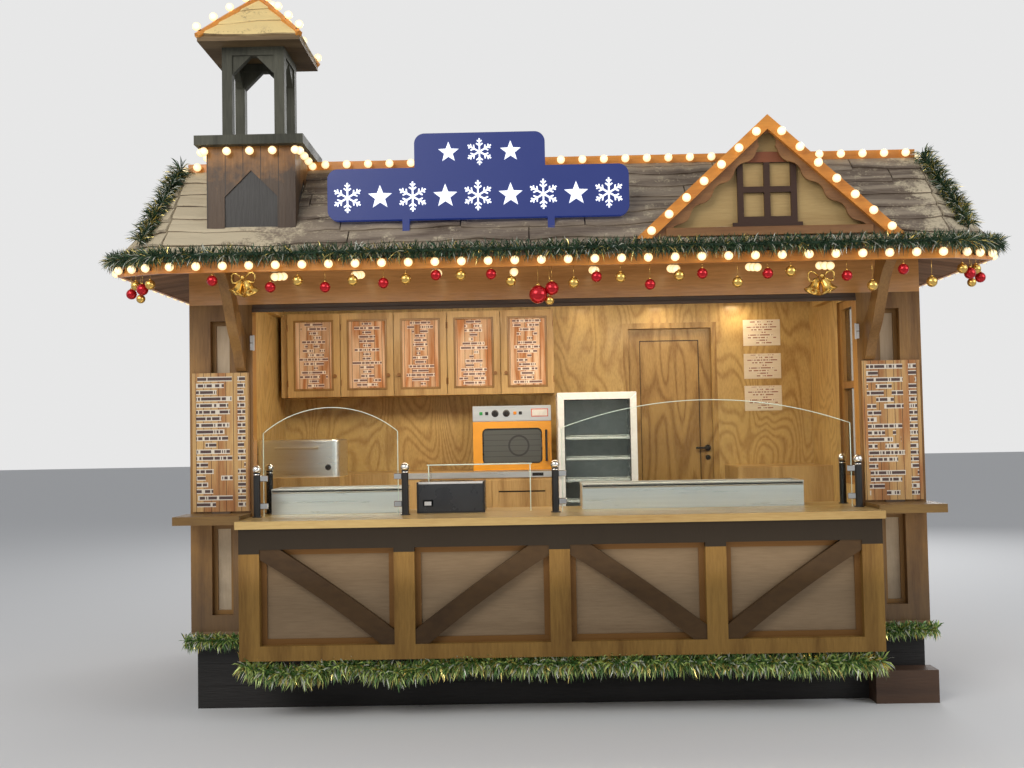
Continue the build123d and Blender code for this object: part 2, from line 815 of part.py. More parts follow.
# Gable wall with its small window frame standing out of it
dormer_window_width = 340
dormer_window_height = 380
dormer_window_lift = 90
dormer_bar = 34
dormer_frame_out = 22
dormer_sill_width = 400
dormer_sill_height = 30
dormer_head_side = 34
dormer_head_middle = 62
dormer_foot_board = 48
dormer_foot_out = 14
dormer_window_base = dormer_base + dormer_window_lift
dormer_window_top = dormer_window_base + dormer_window_height
dormer_window_middle = (dormer_x, dormer_window_base + dormer_window_height / 2)
with BuildPart() as dormer_wall:
    with BuildSketch(wall_plane.offset(-(y_front - dormer_wall_front))):
        dormer_profile(dormer_board)
    extrude(amount=-dormer_wall_board)
    add(roof_solid, mode=Mode.SUBTRACT)
    with BuildSketch(wall_plane.offset(-(y_front - dormer_wall_front))):
        with Locations(dormer_window_middle):
            Rectangle(dormer_window_width, dormer_window_height)
            with GridLocations(
                (dormer_window_width - dormer_bar) / 2, (dormer_window_height - dormer_bar) / 2, 2, 2
            ):
                Rectangle(
                    (dormer_window_width - 3 * dormer_bar) / 2,
                    (dormer_window_height - 3 * dormer_bar) / 2,
                    mode=Mode.SUBTRACT,
                )
        with Locations((dormer_x, dormer_window_base - dormer_sill_height / 2)):
            Rectangle(dormer_sill_width, dormer_sill_height)
        with BuildLine():
            Polyline(
                (dormer_x - dormer_sill_width / 2, dormer_window_top + dormer_head_side - dormer_bar),
                (dormer_x - dormer_sill_width / 2, dormer_window_top - dormer_bar),
                (dormer_x + dormer_sill_width / 2, dormer_window_top - dormer_bar),
                (dormer_x + dormer_sill_width / 2, dormer_window_top + dormer_head_side - dormer_bar),
            )
            ThreePointArc(
                (dormer_x + dormer_sill_width / 2, dormer_window_top + dormer_head_side - dormer_bar),
                (dormer_x, dormer_window_top + dormer_head_middle - dormer_bar),
                (dormer_x - dormer_sill_width / 2, dormer_window_top + dormer_head_side - dormer_bar),
            )
        make_face()
        dormer_profile(dormer_board, Mode.INTERSECT)
    extrude(amount=dormer_frame_out)
    with BuildSketch(wall_plane.offset(-(y_front - dormer_wall_front))):
        with Locations((dormer_x, dormer_base + dormer_foot_board / 2)):
            Rectangle(2 * dormer_half_width, dormer_foot_board)
        dormer_profile(dormer_board, Mode.INTERSECT)
    extrude(amount=dormer_foot_out)
    add(roof_solid, mode=Mode.SUBTRACT)
dormer_wall.part.label = "dormer_wall"
export_step(dormer_wall.part, "parts/dormer_wall.step")

with BuildPart() as dormer_barge_boards:
    with BuildSketch(wall_plane.offset(-(y_front - dormer_barge_front + barge_board))):
        dormer_profile(0)
        dormer_profile(barge_height, Mode.SUBTRACT)
    extrude(amount=barge_board)
dormer_barge_boards.part.label = "dormer_barge_boards"
export_step(dormer_barge_boards.part, "parts/dormer_barge_boards.step")

# Scalloped boards hang below the barge boards: a wave with a round arch where
# the two boards meet under the apex.
scallop_drop = 112
scallop_board = 18
scallop_foot_gap = 74
scallop_depth = 26
scallop_count = 5
arch_radius = 52
scallop_run = math.hypot(dormer_half_width, dormer_rise) - scallop_drop * dormer_pitch
scallop_pitch = (scallop_run - scallop_foot_gap) / scallop_count
dormer_angle = math.atan(dormer_pitch)


def under_slope(side, reach, drop):
    """Point at a reach down one slope from the apex, and a drop square to that slope."""
    return (
        dormer_x + side * (reach * math.cos(dormer_angle) - drop * math.sin(dormer_angle)),
        dormer_apex - reach * math.sin(dormer_angle) - drop * math.cos(dormer_angle),
    )


with BuildPart() as dormer_scalloped_boards:
    for side in (-1, 1):
        with BuildSketch(wall_plane.offset(-(y_front - dormer_barge_front + barge_board))):
            with BuildLine():
                first_reach = scallop_drop * dormer_pitch
                last_reach = first_reach + scallop_count * scallop_pitch
                Polyline(
                    under_slope(side, first_reach, scallop_drop),
                    under_slope(side, dormer_board * dormer_pitch, dormer_board),
                    under_slope(side, last_reach, dormer_board),
                    under_slope(side, last_reach, scallop_drop),
                )
                for step in range(2 * scallop_count):
                    near = first_reach + step * scallop_pitch / 2
                    swing = scallop_depth / 2 if step % 2 else -scallop_depth / 2
                    ThreePointArc(
                        under_slope(side, near, scallop_drop),
                        under_slope(side, near + scallop_pitch / 4, scallop_drop + swing),
                        under_slope(side, near + scallop_pitch / 2, scallop_drop),
                    )
            make_face()
            with Locations((dormer_x, dormer_apex - scallop_drop * math.hypot(1, dormer_pitch))):
                Circle(arch_radius, mode=Mode.SUBTRACT)
            dormer_profile(dormer_board, Mode.INTERSECT)
        extrude(amount=-scallop_board)
    add(roof_solid, mode=Mode.SUBTRACT)
dormer_scalloped_boards.part.label = "dormer_scalloped_boards"
export_step(dormer_scalloped_boards.part, "parts/dormer_scalloped_boards.step")


# Sign: a flat rounded lamp box in two tiers, on two posts that stand on the
# slope. It carries no lettering.
sign_front = 450
sign_board = 50
sign_from_turret = 452
sign_from_dormer = 786
sign_drop = 400
sign_lower_height = 300
sign_upper_height = 200
sign_step_left = 508
sign_step_right = 483
sign_corner = 60
sign_post = 40
sign_post_inset = 454
sign_left = turret_x + sign_from_turret
sign_right = dormer_x - sign_from_dormer
sign_base = roof_top - sign_drop
sign_step = sign_base + sign_lower_height
sign_top = sign_step + sign_upper_height
sign_upper_left = sign_left + sign_step_left
sign_upper_right = sign_right - sign_step_right
sign_post_places = (sign_left + sign_post_inset, sign_right - sign_post_inset)
with BuildPart() as sign_panel:
    with BuildSketch(wall_plane.offset(-(y_front - sign_front + sign_board))):
        with Locations(((sign_left + sign_right) / 2, (sign_base + sign_step) / 2)):
            RectangleRounded(sign_right - sign_left, sign_step - sign_base, sign_corner)
        with Locations(
            ((sign_upper_left + sign_upper_right) / 2, (sign_base + sign_corner + sign_top) / 2)
        ):
            RectangleRounded(
                sign_upper_right - sign_upper_left, sign_top - sign_base - sign_corner, sign_corner
            )
    extrude(amount=sign_board)
    with BuildSketch(Plane.XY.offset(soffit_front)):
        for place in sign_post_places:
            with Locations((place, y_front - sign_front + (sign_board + sign_post) / 2)):
                Rectangle(sign_post, sign_board + sign_post)
    extrude(amount=sign_step - sign_corner - soffit_front)
    add(roof_solid, mode=Mode.SUBTRACT)
sign_panel.part.label = "sign_panel"
export_step(sign_panel.part, "parts/sign_panel.step")


# Service counter in front of the wall
with BuildPart() as counter_top:
    with BuildSketch(Plane.XY.offset(box_top)):
        with Locations((0, (counter_front + y_front) / 2)):
            Rectangle(counter_width, y_front - counter_front)
        with Locations((0, y_front + counter_inside / 2)):
            Rectangle(2 * opening_half, counter_inside)
    extrude(amount=counter_board)
counter_top.part.label = "counter_top"
export_step(counter_top.part, "parts/counter_top.step")

counter_top_rail = 120
counter_bottom_rail = 85
counter_end_board = 40
counter_base_board = 25
counter_bay = (counter_box_width - (counter_bays + 1) * counter_post) / counter_bays
counter_bay_step = counter_bay + counter_post
counter_bay_low = counter_box_bottom + counter_bottom_rail
counter_bay_high = box_top - counter_top_rail
counter_bay_height = counter_bay_high - counter_bay_low
counter_bay_level = (counter_bay_low + counter_bay_high) / 2
with BuildPart() as counter_frame:
    with BuildSketch(wall_plane.offset(-box_front)):
        with Locations((0, (counter_box_bottom + box_top) / 2)):
            Rectangle(counter_box_width, box_top - counter_box_bottom)
        with Locations((0, counter_bay_level)):
            with GridLocations(counter_bay_step, 0, counter_bays, 1):
                Rectangle(counter_bay, counter_bay_height, mode=Mode.SUBTRACT)
    extrude(amount=-counter_frame_depth)
    with BuildSketch(Plane.XY.offset(counter_box_bottom)):
        for side in (-1, 1):
            with Locations(
                (side * (counter_box_width - counter_end_board) / 2, (box_front + y_front) / 2)
            ):
                Rectangle(counter_end_board, y_front - box_front)
    extrude(amount=box_top - counter_box_bottom)
    with BuildSketch(Plane.XY.offset(counter_box_bottom)):
        with Locations((0, (box_front + y_front) / 2)):
            Rectangle(counter_box_width, y_front - box_front)
    extrude(amount=counter_base_board)
counter_frame.part.label = "counter_frame"
export_step(counter_frame.part, "parts/counter_frame.step")

counter_panel = 25
counter_bead_width = 34
with BuildPart() as counter_panels:
    with BuildSketch(wall_plane.offset(-(box_front + panel_recess))):
        with Locations((0, counter_bay_level)):
            with GridLocations(counter_bay_step, 0, counter_bays, 1):
                Rectangle(counter_bay, counter_bay_height)
    extrude(amount=-counter_panel)
    with BuildSketch(wall_plane.offset(-(box_front + panel_recess))):
        with Locations((0, counter_bay_level)):
            with GridLocations(counter_bay_step, 0, counter_bays, 1):
                Rectangle(counter_bay, counter_bay_height)
                Rectangle(
                    counter_bay - 2 * counter_bead_width,
                    counter_bay_height - 2 * counter_bead_width,
                    mode=Mode.SUBTRACT,
                )
    extrude(amount=bead_height)
counter_panels.part.label = "counter_panels"
export_step(counter_panels.part, "parts/counter_panels.step")

# Bowed braces, one in each bay, that lean alternately left and right
brace_setback = 8
brace_bow = 22
brace_depth = panel_recess - bead_height - brace_setback
brace_foot = brace_width / 2
with BuildPart() as counter_braces:
    for bay in range(counter_bays):
        bay_x = (bay - (counter_bays - 1) / 2) * counter_bay_step
        lean = 1 if bay % 2 == 0 else -1
        start = Vector(bay_x - lean * counter_bay / 2, counter_bay_high)
        finish = Vector(bay_x + lean * counter_bay / 2, counter_bay_low)
        along = (finish - start).normalized()
        square = Vector(-along.Y, along.X) * lean
        middle = (start + finish) / 2 + square * brace_bow
        first = start - along * brace_width
        last = finish + along * brace_width
        with BuildSketch(wall_plane.offset(-(box_front + brace_setback))):
            with BuildLine():
                ThreePointArc(
                    first + square * brace_foot,
                    middle + square * (brace_foot - brace_setback),
                    last + square * brace_foot,
                )
                Line(last + square * brace_foot, last - square * brace_foot)
                ThreePointArc(
                    last - square * brace_foot,
                    middle - square * (brace_foot - brace_setback),
                    first - square * brace_foot,
                )
                Line(first - square * brace_foot, first + square * brace_foot)
            make_face()
            with Locations((bay_x, counter_bay_level)):
                Rectangle(counter_bay, counter_bay_height, mode=Mode.INTERSECT)
        extrude(amount=-brace_depth)
counter_braces.part.label = "counter_braces"
export_step(counter_braces.part, "parts/counter_braces.step")

# Side shelves and menu boards on the piers
shelf_reach = 290
shelf_level = 1190
shelf_board = 50
shelf_overhang = 25
shelf_inner = counter_width / 2
shelf_width = half_width + shelf_overhang - shelf_inner
with BuildPart() as side_shelves:
    with BuildSketch(Plane.XY.offset(shelf_level - shelf_board)):
        for side in (-1, 1):
            with Locations((side * (shelf_inner + shelf_width / 2), y_front - shelf_reach / 2)):
                Rectangle(shelf_width, shelf_reach)
    extrude(amount=shelf_board)
side_shelves.part.label = "side_shelves"
export_step(side_shelves.part, "parts/side_shelves.step")

menu_width = 350
menu_height = 850
menu_board = 18
menu_lift = 12
with BuildPart() as menu_boards:
    with BuildSketch(wall_plane.offset(-y_front)):
        for side in (-1, 1):
            with Locations(
                (side * (half_width - pier_width / 2), shelf_level + menu_lift + menu_height / 2)
            ):
                Rectangle(menu_width, menu_height)
    extrude(amount=menu_board)
menu_boards.part.label = "menu_boards"
export_step(menu_boards.part, "parts/menu_boards.step")

# Curved knee brackets carry the overhang at the inner posts
bracket_board = 60
bracket_gap = 8
bracket_shoulder_height = 210
bracket_inner = 300
bracket_outer = 520
bracket_curve = 60
bracket_toe = 82
bracket_toe_height = 70
bracket_foot = shelf_level + menu_lift + menu_height + bracket_gap
bracket_shoulder = bracket_foot + bracket_shoulder_height
inner_level = room_top - bracket_inner * soffit_fall
outer_level = room_top - bracket_outer * soffit_fall
with BuildPart() as eave_brackets:
    for side in (-1, 1):
        with BuildSketch(Plane.YZ.offset(side * (opening_half + pier_post / 2))):
            with BuildLine():
                Line((y_front, bracket_foot), (y_front, bracket_shoulder))
                ThreePointArc(
                    (y_front, bracket_shoulder),
                    (
                        y_front - bracket_inner / 2 - bracket_curve / 2,
                        (bracket_shoulder + inner_level) / 2 - bracket_curve / 2,
                    ),
                    (y_front - bracket_inner, inner_level),
                )
                Line((y_front - bracket_inner, inner_level), (y_front - bracket_outer, outer_level))
                Spline(
                    (y_front - bracket_outer, outer_level),
                    (y_front - (bracket_inner + bracket_outer) / 2, outer_level - bracket_toe_height),
                    (y_front - bracket_inner / 2 - bracket_curve, bracket_shoulder),
                    (y_front - bracket_toe, bracket_foot + bracket_toe_height),
                    (y_front - bracket_toe / 2, bracket_foot + bracket_gap),
                    (y_front, bracket_foot),
                )
            make_face()
        extrude(amount=bracket_board / 2, both=True)
eave_brackets.part.label = "eave_brackets"
export_step(eave_brackets.part, "parts/eave_brackets.step")


# Wall cabinet with five doors
cabinet_end_gap = 40
cabinet_right = 50
cabinet_filler = 50
cabinet_top_gap = 60
cabinet_height = 660
cabinet_board = 18
cabinet_doors = 5
cabinet_leaf = 20
knob_radius = 14
knob_reach = 26
knob_inset = 40
cabinet_left = cabinet_end_gap - inner_x
cabinet_high = room_top - cabinet_top_gap
cabinet_low = cabinet_high - cabinet_height
cabinet_pitch = (cabinet_right - cabinet_left - cabinet_filler) / cabinet_doors
with BuildPart() as wall_cabinet:
    with BuildSketch(Plane.XY.offset(cabinet_low)):
        with Locations(((cabinet_left + cabinet_right) / 2, y_inner_back - cabinet_depth / 2)):
            Rectangle(cabinet_right - cabinet_left, cabinet_depth)
    extrude(amount=cabinet_high - cabinet_low)
    with BuildSketch(wall_plane.offset(-cabinet_front)):
        with Locations(
            ((cabinet_left + cabinet_filler + cabinet_right) / 2, (cabinet_low + cabinet_high) / 2)
        ):
            Rectangle(
                cabinet_right - cabinet_left - cabinet_filler - 2 * cabinet_board,
                cabinet_high - cabinet_low - 2 * cabinet_board,
            )
    extrude(amount=-(cabinet_depth - cabinet_board), mode=Mode.SUBTRACT)
wall_cabinet.part.label = "wall_cabinet"
export_step(wall_cabinet.part, "parts/wall_cabinet.step")


def knuckle_levels(low, high):
    """Levels of the two hinge knuckles on a leaf, a sixth of its height from each end."""
    return (low + (high - low) / 6, high - (high - low) / 6)


leaf_width = cabinet_pitch - door_gap
leaf_height = cabinet_high - cabinet_low
leaf_face = cabinet_front - bumper_gap - cabinet_leaf
leaf_frame = 60
leaf_pocket = 6
knob_sides = (1, 1, -1, 1, -1)
for door_index in range(cabinet_doors):
    leaf_x = cabinet_left + cabinet_filler + (door_index + 0.5) * cabinet_pitch
    knob_x = leaf_x + knob_sides[door_index] * (leaf_width / 2 - knob_inset)
    knuckle_x = leaf_x - knob_sides[door_index] * (leaf_width / 2 - knuckle_radius)
    with BuildPart() as cabinet_door:
        with BuildSketch(wall_plane.offset(-leaf_face)):
            with Locations((leaf_x, (cabinet_low + cabinet_high) / 2)):
                Rectangle(leaf_width, leaf_height)
        extrude(amount=-cabinet_leaf)
        with BuildSketch(wall_plane.offset(-leaf_face)):
            with Locations((leaf_x, (cabinet_low + cabinet_high) / 2)):
                Rectangle(leaf_width - 2 * leaf_frame, leaf_height - 2 * leaf_frame)
        extrude(amount=-leaf_pocket, mode=Mode.SUBTRACT)
        with BuildSketch(wall_plane.offset(-leaf_face)):
            with Locations((knob_x, cabinet_low + leaf_height / 4)):
                Circle(knob_radius)
        extrude(amount=knob_reach)
        for level in knuckle_levels(cabinet_low, cabinet_high):
            with BuildSketch(Plane.XY.offset(level - knuckle_length / 2)):
                with Locations((knuckle_x, leaf_face - knuckle_radius / 2)):
                    Circle(knuckle_radius)
            extrude(amount=knuckle_length)
    cabinet_door.part.label = f"cabinet_door_{door_index + 1}"
    export_step(cabinet_door.part, f"parts/cabinet_door_{door_index + 1}.step")


# Back counters, an L on the left and a short one right of the door
back_counter_level = 1360
back_counter_depth = 600
back_counter_end = 20
left_counter_depth = 640
left_counter_front = 0
right_counter_gap = 41
right_counter_start = lining_right + right_counter_gap
with BuildPart() as back_counters:
    with BuildSketch(Plane.XY.offset(floor_top)):
        with BuildLine():
            Polyline(
                (-inner_x, y_inner_back),
                (-inner_x, left_counter_front),
                (-inner_x + left_counter_depth, left_counter_front),
                (-inner_x + left_counter_depth, y_inner_back - back_counter_depth),
                (back_counter_end, y_inner_back - back_counter_depth),
                (back_counter_end, y_inner_back),
                close=True,
            )
        make_face()
        with Locations(
            ((right_counter_start + inner_x) / 2, y_inner_back - back_counter_depth / 2)
        ):
            Rectangle(inner_x - right_counter_start, back_counter_depth)
    extrude(amount=back_counter_level - floor_top)
back_counters.part.label = "back_counters"
export_step(back_counters.part, "parts/back_counters.step")

# Oven on the back counter, its door hung on the left
oven_left = -590
oven_right = 12
oven_height = 500
oven_front = 680
oven_back_gap = 20
oven_wall = 45
oven_panel_height = 115
oven_door_board = 36
oven_door_height = oven_height - oven_panel_height - 2 * door_gap
oven_door_low = back_counter_level + door_gap
oven_body_front = oven_front + oven_door_board + bumper_gap
oven_door_level = oven_door_low + oven_door_height / 2
with BuildPart() as oven_body:
    with BuildSketch(wall_plane.offset(-oven_body_front)):
        with Locations(((oven_left + oven_right) / 2, back_counter_level + oven_height / 2)):
            Rectangle(oven_right - oven_left, oven_height)
    extrude(amount=-(y_inner_back - oven_back_gap - oven_body_front))
    with BuildSketch(wall_plane.offset(-oven_body_front)):
        with Locations(((oven_left + oven_right) / 2, oven_door_level)):
            Rectangle(oven_right - oven_left - 2 * oven_wall, oven_door_height - 2 * oven_wall)
    extrude(
        amount=-(y_inner_back - oven_back_gap - oven_body_front - oven_wall), mode=Mode.SUBTRACT
    )
    with BuildSketch(wall_plane.offset(-oven_body_front)):
        with Locations(
            (
                (oven_left + oven_right) / 2,
                back_counter_level + oven_height - oven_panel_height / 2,
            )
        ):
            Rectangle(oven_right - oven_left, oven_panel_height)
    extrude(amount=oven_door_board)
oven_body.part.label = "oven_body"
export_step(oven_body.part, "parts/oven_body.step")

oven_window_width = 450
oven_window_height = 262
oven_window_corner = 32
oven_window_depth = 4
oven_handle_radius = 9
oven_handle_reach = 45
oven_handle_length = 240
oven_handle_inset = 40
oven_handle_x = oven_right - oven_handle_inset
with BuildPart() as oven_door:
    with BuildSketch(wall_plane.offset(-oven_front)):
        with Locations(((oven_left + oven_right) / 2, oven_door_level)):
            Rectangle(oven_right - oven_left, oven_door_height)
    extrude(amount=-oven_door_board)
    with BuildSketch(wall_plane.offset(-oven_front)):
        with Locations(((oven_left + oven_right) / 2, oven_door_level)):
            RectangleRounded(oven_window_width, oven_window_height, oven_window_corner)
    extrude(amount=-oven_window_depth, mode=Mode.SUBTRACT)
    with BuildSketch(wall_plane.offset(-oven_front)):
        with Locations((oven_handle_x, oven_door_level)):
            with GridLocations(0, oven_handle_length - 2 * oven_handle_radius, 1, 2):
                Circle(oven_handle_radius)
    extrude(amount=oven_handle_reach)
    with BuildSketch(Plane.XY.offset(oven_door_level - oven_handle_length / 2)):
        with Locations((oven_handle_x, oven_front - oven_handle_reach)):
            Circle(oven_handle_radius)
    extrude(amount=oven_handle_length)
    for level in knuckle_levels(oven_door_low, oven_door_low + oven_door_height):
        with BuildSketch(Plane.XY.offset(level - knuckle_length / 2)):
            with Locations((oven_left + knuckle_radius, oven_front - knuckle_radius / 2)):
                Circle(knuckle_radius)
        extrude(amount=knuckle_length)
oven_door.part.label = "oven_door"
export_step(oven_door.part, "parts/oven_door.step")

# Display fridge with shelves and a glazed door hung on its left
fridge_left = 53
fridge_width = 581
fridge_height = 1470
fridge_depth = 500
fridge_front = 290
fridge_wall = 35
fridge_plinth = 160
fridge_shelves = 3
fridge_shelf_board = 6
fridge_door_board = 34
fridge_door_frame = 48
fridge_pane = 10
fridge_middle = fridge_left + fridge_width / 2
fridge_body_front = fridge_front + fridge_door_board + bumper_gap
fridge_hollow_low = floor_top + fridge_plinth + fridge_wall
fridge_hollow_high = floor_top + fridge_height - fridge_wall
fridge_shelf_step = (fridge_hollow_high - fridge_hollow_low) / (fridge_shelves + 1)
with BuildPart() as fridge_body:
    with BuildSketch(Plane.XY.offset(floor_top)):
        with Locations((fridge_middle, (fridge_body_front + fridge_front + fridge_depth) / 2)):
            Rectangle(fridge_width, fridge_front + fridge_depth - fridge_body_front)
    extrude(amount=fridge_height)
    with BuildSketch(wall_plane.offset(-fridge_body_front)):
        with Locations((fridge_middle, (fridge_hollow_low + fridge_hollow_high) / 2)):
            Rectangle(fridge_width - 2 * fridge_wall, fridge_hollow_high - fridge_hollow_low)
            with GridLocations(0, fridge_shelf_step, 1, fridge_shelves):
                Rectangle(fridge_width - 2 * fridge_wall, fridge_shelf_board, mode=Mode.SUBTRACT)
    extrude(
        amount=-(fridge_front + fridge_depth - fridge_wall - fridge_body_front), mode=Mode.SUBTRACT
    )
fridge_body.part.label = "fridge_body"
export_step(fridge_body.part, "parts/fridge_body.step")

fridge_door_low = floor_top + fridge_plinth
fridge_door_high = floor_top + fridge_height - door_gap
with BuildPart() as fridge_door:
    with BuildSketch(wall_plane.offset(-fridge_front)):
        with Locations((fridge_middle, (fridge_door_low + fridge_door_high) / 2)):
            Rectangle(fridge_width, fridge_door_high - fridge_door_low)
    extrude(amount=-fridge_door_board)
    for pocket_plane, inward in (
        (wall_plane.offset(-fridge_front), -1),
        (wall_plane.offset(-(fridge_front + fridge_door_board)), 1),
    ):
        with BuildSketch(pocket_plane):
            with Locations((fridge_middle, (fridge_door_low + fridge_door_high) / 2)):
                Rectangle(
                    fridge_width - 2 * fridge_door_frame,
                    fridge_door_high - fridge_door_low - 2 * fridge_door_frame,
                )
        extrude(amount=inward * (fridge_door_board - fridge_pane) / 2, mode=Mode.SUBTRACT)
    for level in knuckle_levels(fridge_door_low, fridge_door_high):
        with BuildSketch(Plane.XY.offset(level - knuckle_length / 2)):
            with Locations((fridge_left + knuckle_radius, fridge_front - knuckle_radius / 2)):
                Circle(knuckle_radius)
        extrude(amount=knuckle_length)
fridge_door.part.label = "fridge_door"
export_step(fridge_door.part, "parts/fridge_door.step")

# Steel griddles and a warming box stand on the counter
griddle_front = 180
griddle_depth = 300
griddle_height = 150
griddle_rim = 14
griddle_well = 60
griddle_end_gap = 310
griddle_left_gap = 70
griddle_long_start = 165
griddle_short_end = -950
griddle_spans = (
    (griddle_long_start, opening_half - griddle_end_gap),
    (griddle_left_gap - opening_half, griddle_short_end),
)
with BuildPart() as griddles:
    for first, last in griddle_spans:
        with BuildSketch(Plane.XY.offset(counter_level)):
            with Locations(((first + last) / 2, y_front + griddle_front + griddle_depth / 2)):
                Rectangle(last - first, griddle_depth)
        extrude(amount=griddle_height)
        with BuildSketch(Plane.XY.offset(counter_level + griddle_height)):
            with Locations(((first + last) / 2, y_front + griddle_front + griddle_depth / 2)):
                Rectangle(last - first - 2 * griddle_rim, griddle_depth - 2 * griddle_rim)
        extrude(amount=-griddle_well, mode=Mode.SUBTRACT)
griddles.part.label = "griddles"
export_step(griddles.part, "parts/griddles.step")

warming_left = -862
warming_right = -445
warming_front = 60
warming_depth = 300
warming_height = 190
with BuildPart() as warming_box:
    with BuildSketch(Plane.XY.offset(counter_level)):
        with Locations(
            ((warming_left + warming_right) / 2, y_front + warming_front + warming_depth / 2)
        ):
            Rectangle(warming_right - warming_left, warming_depth)
    extrude(amount=warming_height)
warming_box.part.label = "warming_box"
export_step(warming_box.part, "parts/warming_box.step")

roaster_end_gap = 30
roaster_width = 600
roaster_front = 60
roaster_depth = 420
roaster_height = 270
roaster_seam = 165
roaster_groove = 6
roaster_round = 16
roaster_left = roaster_end_gap - inner_x
with BuildPart() as roaster:
    with BuildSketch(Plane.XY.offset(back_counter_level)):
        with Locations((roaster_left + roaster_width / 2, roaster_front + roaster_depth / 2)):
            RectangleRounded(roaster_width, roaster_depth, roaster_depth / 8)
    extrude(amount=roaster_height)
    fillet(roaster.edges().group_by(Axis.Z)[-1], roaster_round)
    with BuildSketch(Plane.XY.offset(back_counter_level + roaster_seam)):
        with Locations((roaster_left + roaster_width / 2, roaster_front + roaster_depth / 2)):
            RectangleRounded(roaster_width, roaster_depth, roaster_depth / 8)
            RectangleRounded(
                roaster_width - 2 * roaster_groove,
                roaster_depth - 2 * roaster_groove,
                roaster_depth / 8 - roaster_groove,
                mode=Mode.SUBTRACT,
            )
    extrude(amount=roaster_groove, mode=Mode.SUBTRACT)
roaster.part.label = "roaster"
export_step(roaster.part, "parts/roaster.step")

# Glass guards between slim posts with ball heads
guard_line = 50
guard_return = 300
guard_post_radius = 21
guard_ball_radius = 27
guard_height = 290
guard_flange_radius = 30
guard_flange_height = 5
guard_glass_board = 8
guard_glass_gap = 42
guard_spring = 510
guard_inset = 32
guard_middle_left = -923
guard_middle_right = -9
guard_left_peak = 661
guard_right_peak = 666
guard_end = opening_half - guard_inset
guard_places = (
    (-guard_end, -guard_line),
    (-guard_end, guard_return),
    (guard_middle_left, -guard_line),
    (guard_middle_right, -guard_line),
    (guard_end, -guard_line),
    (guard_end, guard_return),
)
guard_panes = (
    (-guard_end, guard_middle_left, counter_level + guard_left_peak),
    (guard_middle_right, guard_end, counter_level + guard_right_peak),
)
with BuildPart() as guard_posts:
    for place_x, place_y in guard_places:
        with BuildSketch(Plane.XY.offset(counter_level)):
            with Locations((place_x, y_front + place_y)):
                Circle(guard_post_radius)
        extrude(amount=guard_height)
        with BuildSketch(Plane.XY.offset(counter_level)):
            with Locations((place_x, y_front + place_y)):
                Circle(guard_flange_radius)
        extrude(amount=guard_flange_height)
        with Locations((place_x, y_front + place_y, counter_level + guard_height)):
            Sphere(guard_ball_radius)
guard_posts.part.label = "guard_posts"
export_step(guard_posts.part, "parts/guard_posts.step")

with BuildPart() as guard_glass:
    for first, last, peak in guard_panes:
        left_edge = first + guard_glass_gap
        right_edge = last - guard_glass_gap
        low = counter_level
        high = counter_level + guard_spring
        with BuildSketch(wall_plane.offset(-(y_front - guard_line))):
            with BuildLine():
                Polyline((left_edge, high), (left_edge, low), (right_edge, low), (right_edge, high))
                ThreePointArc(
                    (right_edge, high), ((left_edge + right_edge) / 2, peak), (left_edge, high)
                )
            make_face()
        extrude(amount=guard_glass_board / 2, both=True)
guard_glass.part.label = "guard_glass"
export_step(guard_glass.part, "parts/guard_glass.step")


# Tinsel garlands as plain tubes, along the eaves, down the corner facets,
# under the counter and at the feet of the piers
garland_sides = 8
flat_share = math.cos(math.pi / garland_sides)


def garland(points, radius, flat_side):
    """Tube along points, one of whose flats faces the direction flat_side."""
    start = Vector(*points[0])
    heading = Vector(*points[1]) - start
    with BuildPart() as tube:
        with BuildLine() as route:
            Polyline(*points)
        with BuildSketch(Plane(origin=start, x_dir=flat_side, z_dir=heading)):
            RegularPolygon(radius, garland_sides, rotation=180 / garland_sides)
        sweep(path=route.wire(), transition=Transition.RIGHT)
    return tube.part


garland_gap = 0.6
garland_out = (garland_radius * flat_share + garland_gap) / math.sqrt(2)
garland_lift = garland_out


def eave_point(x, y, z):
    """Point beside an eave corner on the garland's centre line."""
    corner_shift = garland_out * math.tan(math.radians(22.5))
    x_out = garland_out if abs(x) > half_width else corner_shift
    y_out = corner_shift if abs(x) > half_width else garland_out
    return (
        x + math.copysign(x_out, x),
        y + math.copysign(y_out, y - centre_y),
        z + fascia_height + garland_lift,
    )


eave_points = [eave_point(*corner) for corner in eave_corners]
side_joint = seat_gap
left_middle = (eave_points[6][0], centre_y, eave_points[6][2])
right_middle = (eave_points[2][0], centre_y, eave_points[2][2])
front_route = [
    (left_middle[0], centre_y - side_joint, left_middle[2]),
    eave_points[7],
    eave_points[0],
    eave_points[1],
    eave_points[2],
    (right_middle[0], centre_y - side_joint, right_middle[2]),
]
back_route = [
    (right_middle[0], centre_y + side_joint, right_middle[2]),
    eave_points[3],
    eave_points[4],
    eave_points[5],
    eave_points[6],
    (left_middle[0], centre_y + side_joint, left_middle[2]),
]
hip_start = 0.26
hip_routes = []
for corner_index in (7, 1, 3, 5):
    plane = facet_plane(corner_index, fascia_height, roof_top)
    low_point = (
        Vector(*eave_corners[corner_index]) + Vector(*eave_corners[(corner_index + 1) % 8])
    ) / 2 + Vector(0, 0, fascia_height)
    high_point = Vector(*top_corners[corner_index], roof_top)
    out = plane.z_dir * (hip_garland_radius * flat_share + seat_gap)
    run = high_point - low_point
    hip_routes.append(
        ([tuple(low_point + run * hip_start + out), tuple(high_point + out)], tuple(out))
    )

with BuildPart() as eave_garlands:
    add(garland(front_route, garland_radius, (0, 0, 1)))
    add(garland(back_route, garland_radius, (0, 0, 1)))
    for route_points, facing in hip_routes:
        add(garland(route_points, hip_garland_radius, facing))
eave_garlands.part.label = "eave_garlands"
export_step(eave_garlands.part, "parts/eave_garlands.step")

